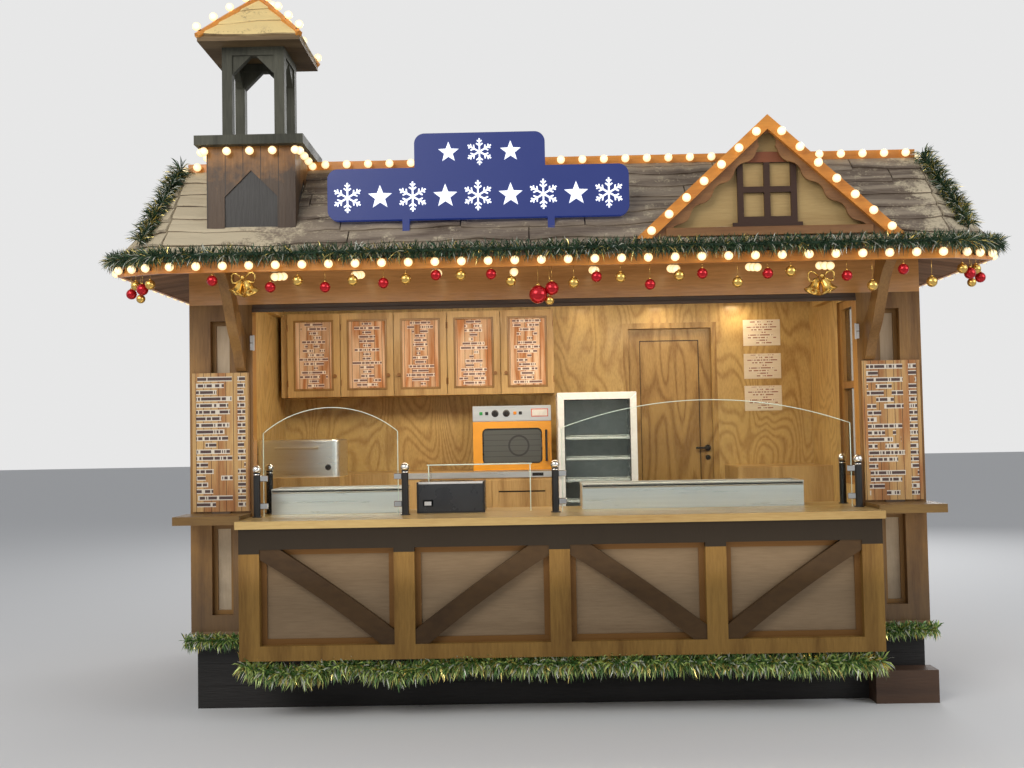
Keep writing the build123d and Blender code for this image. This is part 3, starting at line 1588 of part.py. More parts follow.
counter_garland_level = counter_box_bottom - counter_garland_radius * flat_share - seat_gap
counter_garland_y = box_front + counter_garland_radius / 2
pier_garland_y = y_front - garland_radius * flat_share - seat_gap
pier_garland_level = skirt_height + garland_radius / 2
with BuildPart() as base_garlands:
    add(
        garland(
            [
                (-counter_box_width / 2, counter_garland_y, counter_garland_level),
                (counter_box_width / 2, counter_garland_y, counter_garland_level),
            ],
            counter_garland_radius,
            (0, 0, 1),
        )
    )
    for side in (-1, 1):
        add(
            garland(
                [
                    (side * (opening_half + shelf_overhang), pier_garland_y, pier_garland_level),
                    (side * (half_width + shelf_overhang), pier_garland_y, pier_garland_level),
                ],
                garland_radius,
                (0, 0, 1),
            )
        )
base_garlands.part.label = "base_garlands"
export_step(base_garlands.part, "parts/base_garlands.step")
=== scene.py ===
import math
from functools import partial

import bmesh
import bpy
import numpy as np
from mathutils import Matrix, Vector


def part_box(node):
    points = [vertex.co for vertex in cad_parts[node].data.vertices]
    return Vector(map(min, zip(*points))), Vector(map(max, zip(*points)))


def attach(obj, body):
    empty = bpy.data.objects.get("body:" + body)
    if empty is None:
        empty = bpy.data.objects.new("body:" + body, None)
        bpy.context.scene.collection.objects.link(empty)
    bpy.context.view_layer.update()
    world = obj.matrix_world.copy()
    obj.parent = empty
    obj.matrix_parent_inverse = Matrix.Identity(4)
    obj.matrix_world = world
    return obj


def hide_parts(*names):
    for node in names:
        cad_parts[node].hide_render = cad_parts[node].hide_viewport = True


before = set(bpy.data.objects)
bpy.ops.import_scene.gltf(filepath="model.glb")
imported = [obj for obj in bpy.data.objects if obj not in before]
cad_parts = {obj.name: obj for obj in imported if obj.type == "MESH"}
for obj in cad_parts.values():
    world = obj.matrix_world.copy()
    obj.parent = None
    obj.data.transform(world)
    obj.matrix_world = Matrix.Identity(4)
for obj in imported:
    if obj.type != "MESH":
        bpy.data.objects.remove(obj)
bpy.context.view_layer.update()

# The stand: a pale studio floor, a plain world and soft lamps. The hut is seen
# from a little left of its middle, at eye height, with the horizon tipped as
# the hut was photographed.
camera_place = Vector((-0.175, -8.164, 1.65))
camera_pitch = math.radians(2.44)
camera_turn = math.radians(0.70)
camera_roll = math.radians(-1.06)
photo_width_px = 1024
focal_px = 1150
sensor_mm = 36
hut_camera_data = bpy.data.cameras.new("hut_camera")
hut_camera_data.sensor_width = sensor_mm
hut_camera_data.lens = sensor_mm * focal_px / photo_width_px
hut_camera_data.clip_end = 200
hut_camera = bpy.data.objects.new("hut_camera", hut_camera_data)
hut_camera.matrix_world = (
    Matrix.Translation(camera_place)
    @ Matrix.Rotation(camera_turn, 4, "Z")
    @ Matrix.Rotation(math.pi / 2 + camera_pitch, 4, "X")
    @ Matrix.Rotation(camera_roll, 4, "Z")
)
bpy.context.scene.collection.objects.link(hut_camera)
bpy.context.scene.camera = hut_camera
bpy.context.scene.view_settings.view_transform = "Standard"


def colour(red, green, blue):
    return (red, green, blue, 1.0)


def darker(tint, share):
    return colour(*(share * part for part in tint))


def fill_sockets(tree, item, sockets):
    """Each socket of a node gets a value, or a link from another node's socket."""
    for key, value in sockets.items():
        place = int(key[1:]) if key[0] == "i" and key[1:].isdigit() else key.replace("_", " ")
        if isinstance(value, bpy.types.NodeSocket):
            tree.links.new(value, item.inputs[place])
        else:
            item.inputs[place].default_value = value


def add_node(tree, kind, settings=None, **sockets):
    item = tree.nodes.new(kind)
    for key, value in (settings or {}).items():
        setattr(item, key, value)
    fill_sockets(tree, item, sockets)
    return item


def maths(tree, operation, *values, clamp=False):
    sockets = {f"i{place}": value for place, value in enumerate(values)}
    settings = {"operation": operation, "use_clamp": clamp}
    return add_node(tree, "ShaderNodeMath", settings, **sockets).outputs[0]


def vector_maths(tree, operation, *values):
    sockets = {f"i{place}": value for place, value in enumerate(values)}
    return add_node(tree, "ShaderNodeVectorMath", {"operation": operation}, **sockets).outputs


def ramp(tree, value, from_low, from_high, to_low, to_high, curve="LINEAR"):
    return add_node(tree, "ShaderNodeMapRange", {"interpolation_type": curve}, Value=value,
                    From_Min=from_low, From_Max=from_high, To_Min=to_low, To_Max=to_high).outputs[0]


def noise(tree, place, scale, detail, roughness, distortion=0.0):
    return add_node(tree, "ShaderNodeTexNoise", Vector=place, Scale=scale, Detail=detail,
                    Roughness=roughness, Distortion=distortion).outputs["Fac"]


def chance(tree, seed):
    return add_node(tree, "ShaderNodeTexWhiteNoise", {"noise_dimensions": "1D"}, W=seed).outputs["Value"]


def object_place(tree):
    return add_node(tree, "ShaderNodeTexCoord").outputs["Object"]


def split(tree, vector):
    return add_node(tree, "ShaderNodeSeparateXYZ", Vector=vector).outputs


def blend_colour(tree, share, under, over):
    return add_node(tree, "ShaderNodeMix", {"data_type": "RGBA"}, i0=share, i6=under, i7=over).outputs[2]


def set_surface(material, **sockets):
    tree = material.node_tree
    fill_sockets(tree, tree.nodes["Principled BSDF"], sockets)


def shown_colour(material):
    return material.node_tree.nodes["Principled BSDF"].inputs["Base Color"].links[0].from_socket


def new_material(name, **sockets):
    material = bpy.data.materials.new(name)
    material.use_nodes = True
    set_surface(material, **sockets)
    return material


def plain_lamp(name, place, aim, size, watts, tint):
    lamp_data = bpy.data.lights.new(name, "AREA")
    lamp_data.shape = "RECTANGLE"
    lamp_data.size, lamp_data.size_y = size
    lamp_data.energy = watts
    lamp_data.color = tint
    lamp = bpy.data.objects.new(name, lamp_data)
    lamp.location = place
    lamp.rotation_euler = (Vector(aim) - Vector(place)).to_track_quat("-Z", "Y").to_euler()
    bpy.context.scene.collection.objects.link(lamp)


plain_lamp("front_softbox", (-5.0, -8.5, 6.5), (0, -1, 1.8), (6, 4), 450, (1, 0.98, 0.95))
plain_lamp("side_softbox", (7.5, -5.5, 4.5), (0.5, -1, 1.6), (5, 4), 225, (0.96, 0.98, 1))
plain_lamp("back_softbox", (2.5, 9.0, 6.0), (0, 1, 1.8), (7, 4), 420, (1, 1, 1))
plain_lamp("room_softbox", (0, -0.35, 2.60), (0, 0.35, 1.0), (3.4, 0.5), 50, (1, 0.86, 0.66))
plain_lamp("soffit_softbox", (0, -1.9, 0.9), (0, -1.2, 2.6), (4.4, 0.5), 10, (1, 0.86, 0.66))

studio = bpy.data.worlds.new("studio_world")
bpy.context.scene.world = studio
studio.use_nodes = True
studio_tree = studio.node_tree
studio_tree.nodes.clear()
light_path = add_node(studio_tree, "ShaderNodeLightPath").outputs
seen = maths(studio_tree, "MAXIMUM", light_path["Is Camera Ray"], light_path["Is Glossy Ray"])
seen_all = maths(studio_tree, "MAXIMUM", seen, light_path["Is Transmission Ray"])
room_light = add_node(studio_tree, "ShaderNodeBackground", Color=colour(0.92, 0.95, 1.0), Strength=0.37)
backdrop = add_node(studio_tree, "ShaderNodeBackground", Color=colour(0.80, 0.80, 0.80), Strength=1.0)
world_mix = add_node(studio_tree, "ShaderNodeMixShader", i0=seen_all, i1=room_light.outputs[0],
                     i2=backdrop.outputs[0])
add_node(studio_tree, "ShaderNodeOutputWorld", Surface=world_mix.outputs[0])

floor_reach = 60
floor_mesh = bpy.data.meshes.new("studio_floor")
floor_mesh.from_pydata(
    [(-floor_reach, -floor_reach, 0), (floor_reach, -floor_reach, 0),
     (floor_reach, floor_reach, 0), (-floor_reach, floor_reach, 0)], [], [(0, 1, 2, 3)])
floor_mesh.materials.append(new_material("studio_floor", Base_Color=colour(0.72, 0.72, 0.72), Roughness=0.9))
studio_floor = bpy.data.objects.new("studio_floor", floor_mesh)
bpy.context.scene.collection.objects.link(studio_floor)


# Timber everywhere on the hut is planed spruce or larch. Its grain, the flame
# figure of plywood, the joints between boards, street grime, also used as painted
# shade on the turret, and snow are shared effects, each one a node group.
def new_group(name, inputs, outputs):
    """A shader group. An input's kind follows its value; all outputs but Color are numbers."""
    tree = bpy.data.node_groups.new(name, "ShaderNodeTree")
    for label, value in inputs.items():
        parts = len(value) if isinstance(value, tuple) else 1
        kind = {1: "NodeSocketFloat", 3: "NodeSocketVector", 4: "NodeSocketColor"}[parts]
        tree.interface.new_socket(name=label, in_out="INPUT", socket_type=kind).default_value = value
    for label in outputs:
        kind = "NodeSocketColor" if label == "Color" else "NodeSocketFloat"
        tree.interface.new_socket(name=label, in_out="OUTPUT", socket_type=kind)
    return tree, tree.nodes.new("NodeGroupInput").outputs, tree.nodes.new("NodeGroupOutput")


def use_group(tree, group, **sockets):
    return add_node(tree, "ShaderNodeGroup", {"node_tree": group}, **sockets).outputs


def make_timber_grain():
    tree, given, result = new_group("timber grain", {
        "Light Wood": colour(0.5, 0.3, 0.12), "Dark Wood": colour(0.25, 0.12, 0.04), "Stretch": (1, 1, 0.1),
        "Figure": 2.0, "Rings": 40.0, "Figure Depth": 0.5, "Polish": 0.4}, ("Color", "Roughness", "Height"))
    sums = partial(maths, tree)
    place = object_place(tree)
    stretched = vector_maths(tree, "MULTIPLY", place, given["Stretch"])[0]
    swell = noise(tree, stretched, given["Figure"], 1.5, 0.45, 0.3)
    wave = sums("SINE", sums("MULTIPLY", swell, given["Rings"]))
    late = sums("POWER", ramp(tree, wave, -1, 1, 0, 1), 2.2)
    fibre = ramp(tree, noise(tree, stretched, 95.0, 3.0, 0.6), 0.35, 0.7, 0.0, 0.38)
    shade = ramp(tree, noise(tree, place, 1.7, 2.0, 0.5), 0.3, 0.7, -0.12, 0.2)
    figure = sums("MULTIPLY", late, given["Figure Depth"])
    darkness = sums("ADD", sums("ADD", figure, fibre), shade, clamp=True)
    fill_sockets(tree, result, {
        "Color": blend_colour(tree, darkness, given["Light Wood"], given["Dark Wood"]),
        "Roughness": sums("ADD", given["Polish"], sums("MULTIPLY", darkness, 0.16)),
        "Height": sums("SUBTRACT", 1.0, darkness)})
    return tree


def make_board_joints():
    tree, given, result = new_group("board joints", {
        "Across": (1, 0, 0), "Board Width": 0.12, "Joint Width": 0.004}, ("Joint", "Board Tone"))
    sums = partial(maths, tree)
    along = vector_maths(tree, "DOT_PRODUCT", object_place(tree), given["Across"])["Value"]
    count = sums("DIVIDE", along, given["Board Width"])
    board = sums("FLOOR", count)
    width = sums("MULTIPLY", sums("SUBTRACT", count, board), given["Board Width"])
    fill_sockets(tree, result, {
        "Joint": sums("LESS_THAN", width, given["Joint Width"]), "Board Tone": chance(tree, board)})
    return tree


def make_snow_dust():
    """Snow lies in patches on what faces up. Towards both ends of the roof it heaps up more, as painted
    light of the lamps on those ends.
    """
    tree, given, result = new_group("snow dust", {
        "Amount": 0.5, "Patch Size": 6.0, "Slope Hold": 0.3, "End Start": 9.0}, ("Snow",))
    sums = partial(maths, tree)
    place = object_place(tree)
    patches = noise(tree, place, given["Patch Size"], 5.0, 0.7)
    speck = sums("MULTIPLY", noise(tree, place, 70.0, 2.0, 0.8), 0.45)
    up = split(tree, add_node(tree, "ShaderNodeNewGeometry").outputs["Normal"])["Z"]
    hold = sums("MULTIPLY", up, given["Slope Hold"])
    across = split(tree, place)["X"]
    far = sums("MAXIMUM", sums("MULTIPLY", across, -1.0), sums("MULTIPLY", across, 0.74))
    lit_end_heap = ramp(tree, sums("SUBTRACT", far, given["End Start"]), 0.0, 0.5, 0.0, 0.36)
    snow_and_light_level = sums("ADD", sums("ADD", sums("ADD", patches, speck), hold), lit_end_heap)
    over = sums("SUBTRACT", snow_and_light_level, sums("SUBTRACT", 1.22, given["Amount"]))
    snow = ramp(tree, over, 0.0, 0.22, 0.0, 1.0, "SMOOTHSTEP")
    faces_up = ramp(tree, up, 0.05, 0.30, 0.0, 1.0)
    fill_sockets(tree, result, {"Snow": sums("MULTIPLY", snow, faces_up)})
    return tree


# Darker towards the bottom: street grime near the ground, and painted shade on the lower turret box.
def make_grime_and_shade():
    tree, given, result = new_group("grime and painted shade", {
        "Top Level": 0.6, "Reach": 0.4, "Strength": 0.6}, ("Grime",))
    sums = partial(maths, tree)
    place = object_place(tree)
    spread = sums("MULTIPLY", noise(tree, place, 9.0, 5.0, 0.65), 0.5)
    lifted = sums("SUBTRACT", split(tree, place)["Z"], spread)
    share = sums("DIVIDE", sums("SUBTRACT", given["Top Level"], lifted), given["Reach"], clamp=True)
    fill_sockets(tree, result, {"Grime": sums("MULTIPLY", share, given["Strength"])})
    return tree


def make_inside_box():
    """1 where the place on the hut lies between the two corners, else 0."""
    tree, given, result = new_group("inside box", {
        "Low Corner": (0, 0, 0), "High Corner": (1, 1, 1)}, ("Inside",))
    place = object_place(tree)
    least = None
    for first, second in ((place, given["Low Corner"]), (given["High Corner"], place)):
        past = split(tree, vector_maths(tree, "SUBTRACT", first, second)[0])
        for axis in "XYZ":
            least = past[axis] if least is None else maths(tree, "MINIMUM", least, past[axis])
    fill_sockets(tree, result, {"Inside": maths(tree, "GREATER_THAN", least, 0.0)})
    return tree


def make_printed_rows():
    """Rows of dashes on sheets that repeat along X. A price column can stand at the right."""
    tree, given, result = new_group("printed rows", {
        "Centre": 0.0, "Repeat": 1.0, "Half Width": 0.14, "Low": 0.0, "High": 1.0, "Row Pitch": 0.034,
        "Price Column": 0.0}, ("Print", "Halo"))
    sums = partial(maths, tree)
    spot = split(tree, object_place(tree))
    shifted = sums("SUBTRACT", spot["X"], given["Centre"])
    half_repeat = sums("MULTIPLY", given["Repeat"], 0.5)
    local = sums("WRAP", shifted, half_repeat, sums("MULTIPLY", half_repeat, -1.0))
    across = sums("DIVIDE", local, given["Half Width"])
    sheet_number = sums("ROUND", sums("DIVIDE", shifted, given["Repeat"]))
    row_place = sums("DIVIDE", sums("SUBTRACT", spot["Z"], given["Low"]), given["Row Pitch"])
    row = sums("FLOOR", row_place)
    from_row = sums("SUBTRACT", row_place, row)
    in_row = sums("COMPARE", from_row, 0.5, 0.22)
    near_row = sums("COMPARE", from_row, 0.5, 0.36)
    seed = sums("ADD", row, sums("MULTIPLY", sheet_number, 57.0))
    span = ramp(tree, chance(tree, seed), 0.05, 1.0, 0.22, 0.86)
    centred = sums("LESS_THAN", sums("ABSOLUTE", across), span)
    from_left = sums("COMPARE", across, sums("SUBTRACT", span, 0.94), span)
    left_part = sums("MULTIPLY", from_left, sums("LESS_THAN", across, 0.44))
    listed = sums("MAXIMUM", left_part, sums("COMPARE", across, 0.80, 0.15))
    region = add_node(tree, "ShaderNodeMix", i0=given["Price Column"], i2=centred, i3=listed).outputs[0]
    letters = sums("FLOOR", sums("MULTIPLY", local, 150.0))
    words = sums("FLOOR", sums("MULTIPLY", local, 21.0))
    letter_ink = sums("GREATER_THAN", chance(tree, sums("ADD", letters, sums("MULTIPLY", seed, 3.7))), 0.22)
    word_ink = sums("GREATER_THAN", chance(tree, sums("ADD", words, sums("MULTIPLY", seed, 9.1))), 0.12)
    middle = sums("MULTIPLY", sums("ADD", given["Low"], given["High"]), 0.5)
    tall = sums("MULTIPLY", sums("SUBTRACT", given["High"], given["Low"]), 0.5)
    on_text = sums("MULTIPLY", region, sums("COMPARE", spot["Z"], middle, tall))
    ink = sums("MULTIPLY", letter_ink, word_ink)
    fill_sockets(tree, result, {
        "Print": sums("MULTIPLY", sums("MULTIPLY", in_row, on_text), ink),
        "Halo": sums("MULTIPLY", sums("MULTIPLY", near_row, on_text), word_ink)})
    return tree


timber_grain = make_timber_grain()
board_joints = make_board_joints()
inside_box = make_inside_box()
snow_dust = make_snow_dust()
grime_and_shade_group = make_grime_and_shade()
printed_rows = make_printed_rows()

ALONG_X, ALONG_Y, ALONG_Z = (0.09, 1.0, 1.0), (1.0, 0.09, 1.0), (1.0, 1.0, 0.09)
UP, DOWN, FRONT, BACK = (0, 0, 1), (0, 0, -1), (0, -1, 0), (0, 1, 0)
room_low, room_high = (-2.151, -1.001, 0.3), (2.151, 1.241, 2.9)
grime_and_shade_tint = colour(0.035, 0.028, 0.022)


def timber(name, light, dark, stretch=ALONG_Z, figure=2.4, rings=34.0, depth=0.45, polish=0.38,
           relief=0.12, coat=0.0, boards=None, snow=None, grime=None, lining=None, rows=None,
           snow_tint=(0.58, 0.49, 0.34)):
    """Timber material. boards is (across, width, joint), snow (amount, patches, hold, end start),
    grime (top level, reach, strength) a darkening towards the bottom, street grime near the ground
    and painted shade on the turret, lining (light, dark) the plywood towards the room and
    rows (centre, repeat, half width, low, high, pitch, price column, ink, halo) printed dashes.
    The snow takes a warm tint that is painted light."""
    material = new_material(name, Specular_IOR_Level=0.34, Coat_Weight=coat, Coat_Roughness=0.18)
    tree = material.node_tree
    grain = use_group(tree, timber_grain, Light_Wood=colour(*light), Dark_Wood=colour(*dark),
                      Stretch=stretch, Figure=figure, Rings=rings, Figure_Depth=depth, Polish=polish)
    shown, height, rough = grain["Color"], grain["Height"], grain["Roughness"]
    if boards:
        across, width, joint = boards
        joints = use_group(tree, board_joints, Across=across, Board_Width=width, Joint_Width=joint)
        tone = ramp(tree, joints["Board Tone"], 0, 1, 0.0, 0.34)
        shown = blend_colour(tree, tone, shown, darker(dark, 0.45))
        shown = blend_colour(tree, joints["Joint"], shown, darker(dark, 0.12))
        height = maths(tree, "SUBTRACT", height, joints["Joint"])
    if rows:
        centre, repeat, half_width, low, high, pitch, price_column, ink, halo = rows
        dashes = use_group(tree, printed_rows, Centre=centre, Repeat=repeat, Half_Width=half_width,
                           Low=low, High=high, Row_Pitch=pitch, Price_Column=price_column)
        shown = blend_colour(tree, dashes["Halo"], shown, colour(*halo))
        shown = blend_colour(tree, dashes["Print"], shown, colour(*ink))
    if grime:
        level, reach, strength = grime
        grime_shade_out = use_group(tree, grime_and_shade_group, Top_Level=level, Reach=reach, Strength=strength)
        shown = blend_colour(tree, grime_shade_out["Grime"], shown, grime_and_shade_tint)
    if lining:
        ply = use_group(tree, timber_grain, Light_Wood=colour(*lining[0]), Dark_Wood=colour(*lining[1]),
                        Stretch=(1.0, 1.0, 0.30), Figure=2.8, Rings=125.0, Figure_Depth=0.46, Polish=0.36)
        room = use_group(tree, inside_box, Low_Corner=room_low, High_Corner=room_high)
        shown = blend_colour(tree, room["Inside"], shown, ply["Color"])
    if snow:
        amount, patches, hold, end_start = snow
        dust = use_group(tree, snow_dust, Amount=amount, Patch_Size=patches, Slope_Hold=hold,
                         End_Start=end_start)["Snow"]
        shown = blend_colour(tree, dust, shown, colour(*snow_tint))
        rough = ramp(tree, dust, 0, 1, 0.62, 0.9)
    bump = add_node(tree, "ShaderNodeBump", Height=height, Strength=relief * 3, Distance=0.004)
    set_surface(material, Base_Color=shown, Roughness=rough, Normal=bump.outputs[0])
    return material


def proud_parts(material, parts):
    """Recolours what lies in given boxes, mostly what stands proud of a face, and also places of painted
    shade and light: each part is (low corner, high corner, colour).
    """
    tree = material.node_tree
    shown = shown_colour(material)
    grain = next(node for node in tree.nodes if node.type == "GROUP" and node.node_tree == timber_grain)
    for low, high, tint in parts:
        mask = use_group(tree, inside_box, Low_Corner=low, High_Corner=high)["Inside"]
        tinted = blend_colour(tree, grain.outputs["Roughness"], colour(*tint), darker(tint, 0.55))
        shown = blend_colour(tree, mask, shown, tinted)
    set_surface(material, Base_Color=shown)
    return material


def dress(material, *nodes):
    """Gives CAD nodes their finish."""
    for name in nodes:
        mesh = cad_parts[name].data
        mesh.materials.clear()
        mesh.materials.append(material)


def worn_metal(name, tint, metallic=1.0, rough=(0.25, 0.45), scale=14.0, stretch=(1, 1, 1), relief=0.03):
    """Metal or enamel with a drift in its sheen."""
    material = new_material(name, Metallic=metallic)
    tree = material.node_tree
    drawn = vector_maths(tree, "MULTIPLY", object_place(tree), stretch)[0]
    drift = noise(tree, drawn, scale, 4.0, 0.6)
    bump = add_node(tree, "ShaderNodeBump", Height=drift, Strength=relief * 5, Distance=0.002)
    set_surface(material, Base_Color=blend_colour(tree, drift, darker(tint, 0.82), colour(*tint)),
                Roughness=ramp(tree, drift, 0.3, 0.7, *rough), Normal=bump.outputs[0])
    return material


enamel = partial(worn_metal, metallic=0.0)


def lamp_glass(name, base, rough, blend, powers, tints):
    """Glowing glass, whiter and brighter in its middle than at its rim."""
    material = new_material(name, Base_Color=colour(*base), Roughness=rough)
    tree = material.node_tree
    facing = add_node(tree, "ShaderNodeLayerWeight", Blend=blend).outputs["Facing"]
    set_surface(material, Emission_Color=blend_colour(tree, facing, colour(*tints[0]), colour(*tints[1])),
                Emission_Strength=ramp(tree, facing, 0.0, 0.9, *powers))
    return material


def ring_of(centre, side, other, radius, sides):
    angles = [2 * math.pi * step / sides for step in range(sides)]
    return [centre + (side * math.cos(angle) + other * math.sin(angle)) * radius for angle in angles]


class Shape:
    """Points and faces of one piece, gathered before its mesh is made."""

    def __init__(self):
        self.points, self.faces, self.tones = [], [], []

    def add(self, points, faces, tone=0):
        start = len(self.points)
        self.points.extend(tuple(point) for point in points)
        self.faces.extend(tuple(start + index for index in face) for face in faces)
        self.tones.extend([tone] * len(faces))

    def eased_block(self, low, high, edge=0.002, tone=0, turn=None):
        """Block whose edges are all planed off at 45 degrees."""
        low, high = Vector(low), Vector(high)
        middle, half = (low + high) / 2, (high - low) / 2
        edge = min(edge, min(half) * 0.9)
        points = []
        for corner in range(8):
            signs = [1 if corner >> axis & 1 else -1 for axis in range(3)]
            for axis in range(3):
                spot = Vector([signs[k] * (half[k] - (0 if k == axis else edge)) for k in range(3)])
                points.append(middle + (turn @ spot if turn else spot))
        faces = []
        for axis in range(3):
            second, third = (axis + 1) % 3, (axis + 2) % 3
            for sign in (0, 1):
                ring = [sign << axis | b << second | c << third for b, c in ((0, 0), (1, 0), (1, 1), (0, 1))]
                faces.append([corner * 3 + axis for corner in ring])
            for b in (0, 1):
                for c in (0, 1):
                    near = b << second | c << third
                    far = near | 1 << axis
                    faces.append([near * 3 + second, near * 3 + third, far * 3 + third, far * 3 + second])
        faces.extend([[corner * 3, corner * 3 + 1, corner * 3 + 2] for corner in range(8)])
        self.add(points, faces, tone)

    def upright_bars(self, bars, near, far, edge, tone=0):
        """Eased bars from near to far in Y, each given as (left, low, right, high)."""
        for left, low, right, high in bars:
            self.eased_block((left, near, low), (right, far, high), edge, tone)

    def skin(self, rings, tone=0):
        """Closed skin over a row of rings that all have the same number of points."""
        sides, last = len(rings[0]), len(rings) - 1
        faces = []
        for row in range(last):
            for step in range(sides):
                here, after = row * sides + step, row * sides + (step + 1) % sides
                faces.append((here, after, after + sides, here + sides))
        faces.append(tuple(reversed(range(sides))))
        faces.append(tuple(last * sides + step for step in range(sides)))
        self.add([point for ring in rings for point in ring], faces, tone)

    def turned(self, start, direction, profile, sides=12, tone=0):
        """Turned form: profile is a list of (distance along, radius), closed at both ends."""
        direction = Vector(direction).normalized()
        side = direction.orthogonal().normalized()
        other = direction.cross(side)
        self.skin([ring_of(Vector(start) + direction * reach, side, other, max(radius, 1e-5), sides)
                   for reach, radius in profile], tone)

    def rod(self, route, radius, sides=8, tone=0):
        """Round bar along the points of route."""
        route = [Vector(point) for point in route]
        rings = []
        for index, spot in enumerate(route):
            heading = (route[min(index + 1, len(route) - 1)] - route[max(index - 1, 0)]).normalized()
            side = heading.cross(Vector((0.31, 0.17, 0.93))).normalized()
            rings.append(ring_of(spot, side, heading.cross(side), radius, sides))
        self.skin(rings, tone)

    def make(self, name, body, slot, *materials, smooth=False, repair=True):
        mesh = bpy.data.meshes.new(name)
        mesh.from_pydata(self.points, [], self.faces)
        for material in materials:
            mesh.materials.append(material)
        mesh.polygons.foreach_set("material_index", self.tones)
        if repair:
            work = bmesh.new()
            work.from_mesh(mesh)
            bmesh.ops.recalc_face_normals(work, faces=work.faces)
            work.to_mesh(mesh)
            work.free()
        if smooth:
            mesh.shade_smooth()
        mesh.update()
        piece = bpy.data.objects.new(name, mesh)
        bpy.context.scene.collection.objects.link(piece)
        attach(piece, body)
        return piece


# The base: bearers behind a black stained skirt, and a brown block under the
# right pier. Road salt and melt water leave a grey tide along the ground.
skirt_stain = timber("black_skirt", (0.014, 0.013, 0.013), (0.005, 0.005, 0.005), ALONG_X, polish=0.55,
                     boards=((0, 0, 1), 0.134, 0.005), grime=(0.25, 0.4, 0.2), relief=0.2)
dress(skirt_stain, "base_skirt")
dress(timber("rough_bearers", (0.30, 0.22, 0.14), (0.15, 0.10, 0.06), ALONG_X, polish=0.75), "base_bearers")
dress(timber("plinth_brown", (0.20, 0.085, 0.035), (0.10, 0.04, 0.018), ALONG_X, polish=0.5,
             grime=(0.25, 0.3, 0.7)), "plinth_block")
dress(timber("floor_boards", (0.34, 0.22, 0.12), (0.17, 0.10, 0.05), ALONG_X, polish=0.5,
             boards=((0, 1, 0), 0.14, 0.004), relief=0.2), "floor")

# The walls: planed posts and rails under a warm brown varnish, with panels let
# in, lined with ply towards the room. The jambs of the opening are tinted bright
# orange as painted light from inside the room.
post_light, post_dark = (0.31, 0.160, 0.043), (0.135, 0.059, 0.013)
ply_light, ply_dark = (0.64, 0.455, 0.180), (0.34, 0.195, 0.062)
wall_grime = (0.85, 0.5, 0.55)
post_varnish = timber("post_varnish", post_light, post_dark, figure=3.2, rings=30, coat=0.25,
                      grime=wall_grime)
side_varnish = timber("side_varnish", post_light, post_dark, figure=3.0, rings=26, coat=0.2,
                      grime=wall_grime, lining=(ply_light, ply_dark))
dress(side_varnish, "left_wall_frame", "right_wall_frame", "back_wall_frame", "over_door_board")
dress(post_varnish, "front_piers", "eave_brackets")
# Painted light: the inner jambs of the opening are tinted bright orange.
proud_parts(post_varnish, [((-1.864, -1.098, 1.165), (1.864, -0.960, 2.480), (0.66, 0.320, 0.075))])
dress(timber("lintel_varnish", (0.72, 0.365, 0.125), (0.40, 0.180, 0.054), ALONG_X,
             figure=2.0, rings=36, polish=0.12, coat=1.0), "front_lintel")
dress(timber("sill_wall", (0.34, 0.19, 0.08), (0.17, 0.08, 0.03), boards=((1, 0, 0), 0.12, 0.004)),
      "front_sill_wall")
panel_side, panel_front, panel_back, far_out = 2.1905, -1.0405, 1.2805, 3.0
wall_panels = timber("wall_panels", (0.68, 0.54, 0.37), (0.52, 0.38, 0.23), figure=1.6, rings=46, depth=0.5,
                     polish=0.34, grime=(0.8, 0.4, 0.4), lining=(ply_light, ply_dark))
proud_parts(wall_panels, (
    ((-far_out, -far_out, 0), (far_out, panel_front, far_out), post_light),
    ((-far_out, panel_back, 0), (far_out, far_out, far_out), post_light),
    ((-far_out, -far_out, 0), (-panel_side, far_out, far_out), post_light),
    ((panel_side, -far_out, 0), (far_out, far_out, far_out), post_light)))
dress(wall_panels, "wall_panels")

# The shutter rail runs under the lintel, and one hinge half of the shutters
# that are taken off by day stays on each inner post.
opening_half, jamb_hinge_x = 1.860, 1.863
shutter_rail = Shape()
shutter_rail.eased_block((-opening_half, -1.099, 2.430), (opening_half, -1.066, 2.4725), 0.003)
shutter_rail.eased_block((-opening_half, -1.108, 2.424), (opening_half, -1.099, 2.446), 0.002)
dark_rail = timber("dark_rail", (0.10, 0.062, 0.036), (0.045, 0.028, 0.018), ALONG_X, polish=0.3, coat=0.3)
shutter_rail.make("shutter_rail", "hut", "dark_metal", dark_rail)
white_enamel = enamel("white_enamel", (0.80, 0.81, 0.80), rough=(0.2, 0.32))
jamb_hinges = Shape()
for side in (-1, 1):
    x = side * jamb_hinge_x
    jamb_hinges.upright_bars(((x - 0.010, 2.190, x + 0.010, 2.233), (x - 0.010, 2.237, x + 0.010, 2.280)),
                             -1.110, -1.0995, 0.002)
    jamb_hinges.turned((x - side * 0.012, -1.106, 2.186), UP,
                       [(0, 0.003), (0.002, 0.006), (0.096, 0.006), (0.098, 0.003)], sides=10)
jamb_hinges.make("jamb_hinges", "hut", "white_metal", white_enamel)

# The side window: a small varnished casement with a transom light over it. Its
# glass is tinted grey as painted shade for the dark street beyond, the panes of
# the guards are clear.
dress(timber("window_varnish", (0.42, 0.225, 0.060), (0.21, 0.095, 0.022), coat=0.3), "right_window_frame")
pane_glass = new_material("pane_glass", Base_Color=colour(0.93, 0.97, 0.96),
                          Transmission_Weight=1.0, IOR=1.12)
pane_tree = pane_glass.node_tree
pane_smear = noise(pane_tree, object_place(pane_tree), 4.0, 4.0, 0.6)
set_surface(pane_glass, Roughness=ramp(pane_tree, pane_smear, 0.35, 0.75, 0.02, 0.10))
dress(pane_glass, "guard_glass")
window_glass = pane_glass.copy()
window_glass.name = "window_glass"
# Painted shade: the glass is tinted grey for the dark street beyond it.
set_surface(window_glass, Base_Color=colour(0.50, 0.47, 0.40))
dress(window_glass, "right_window_glass")

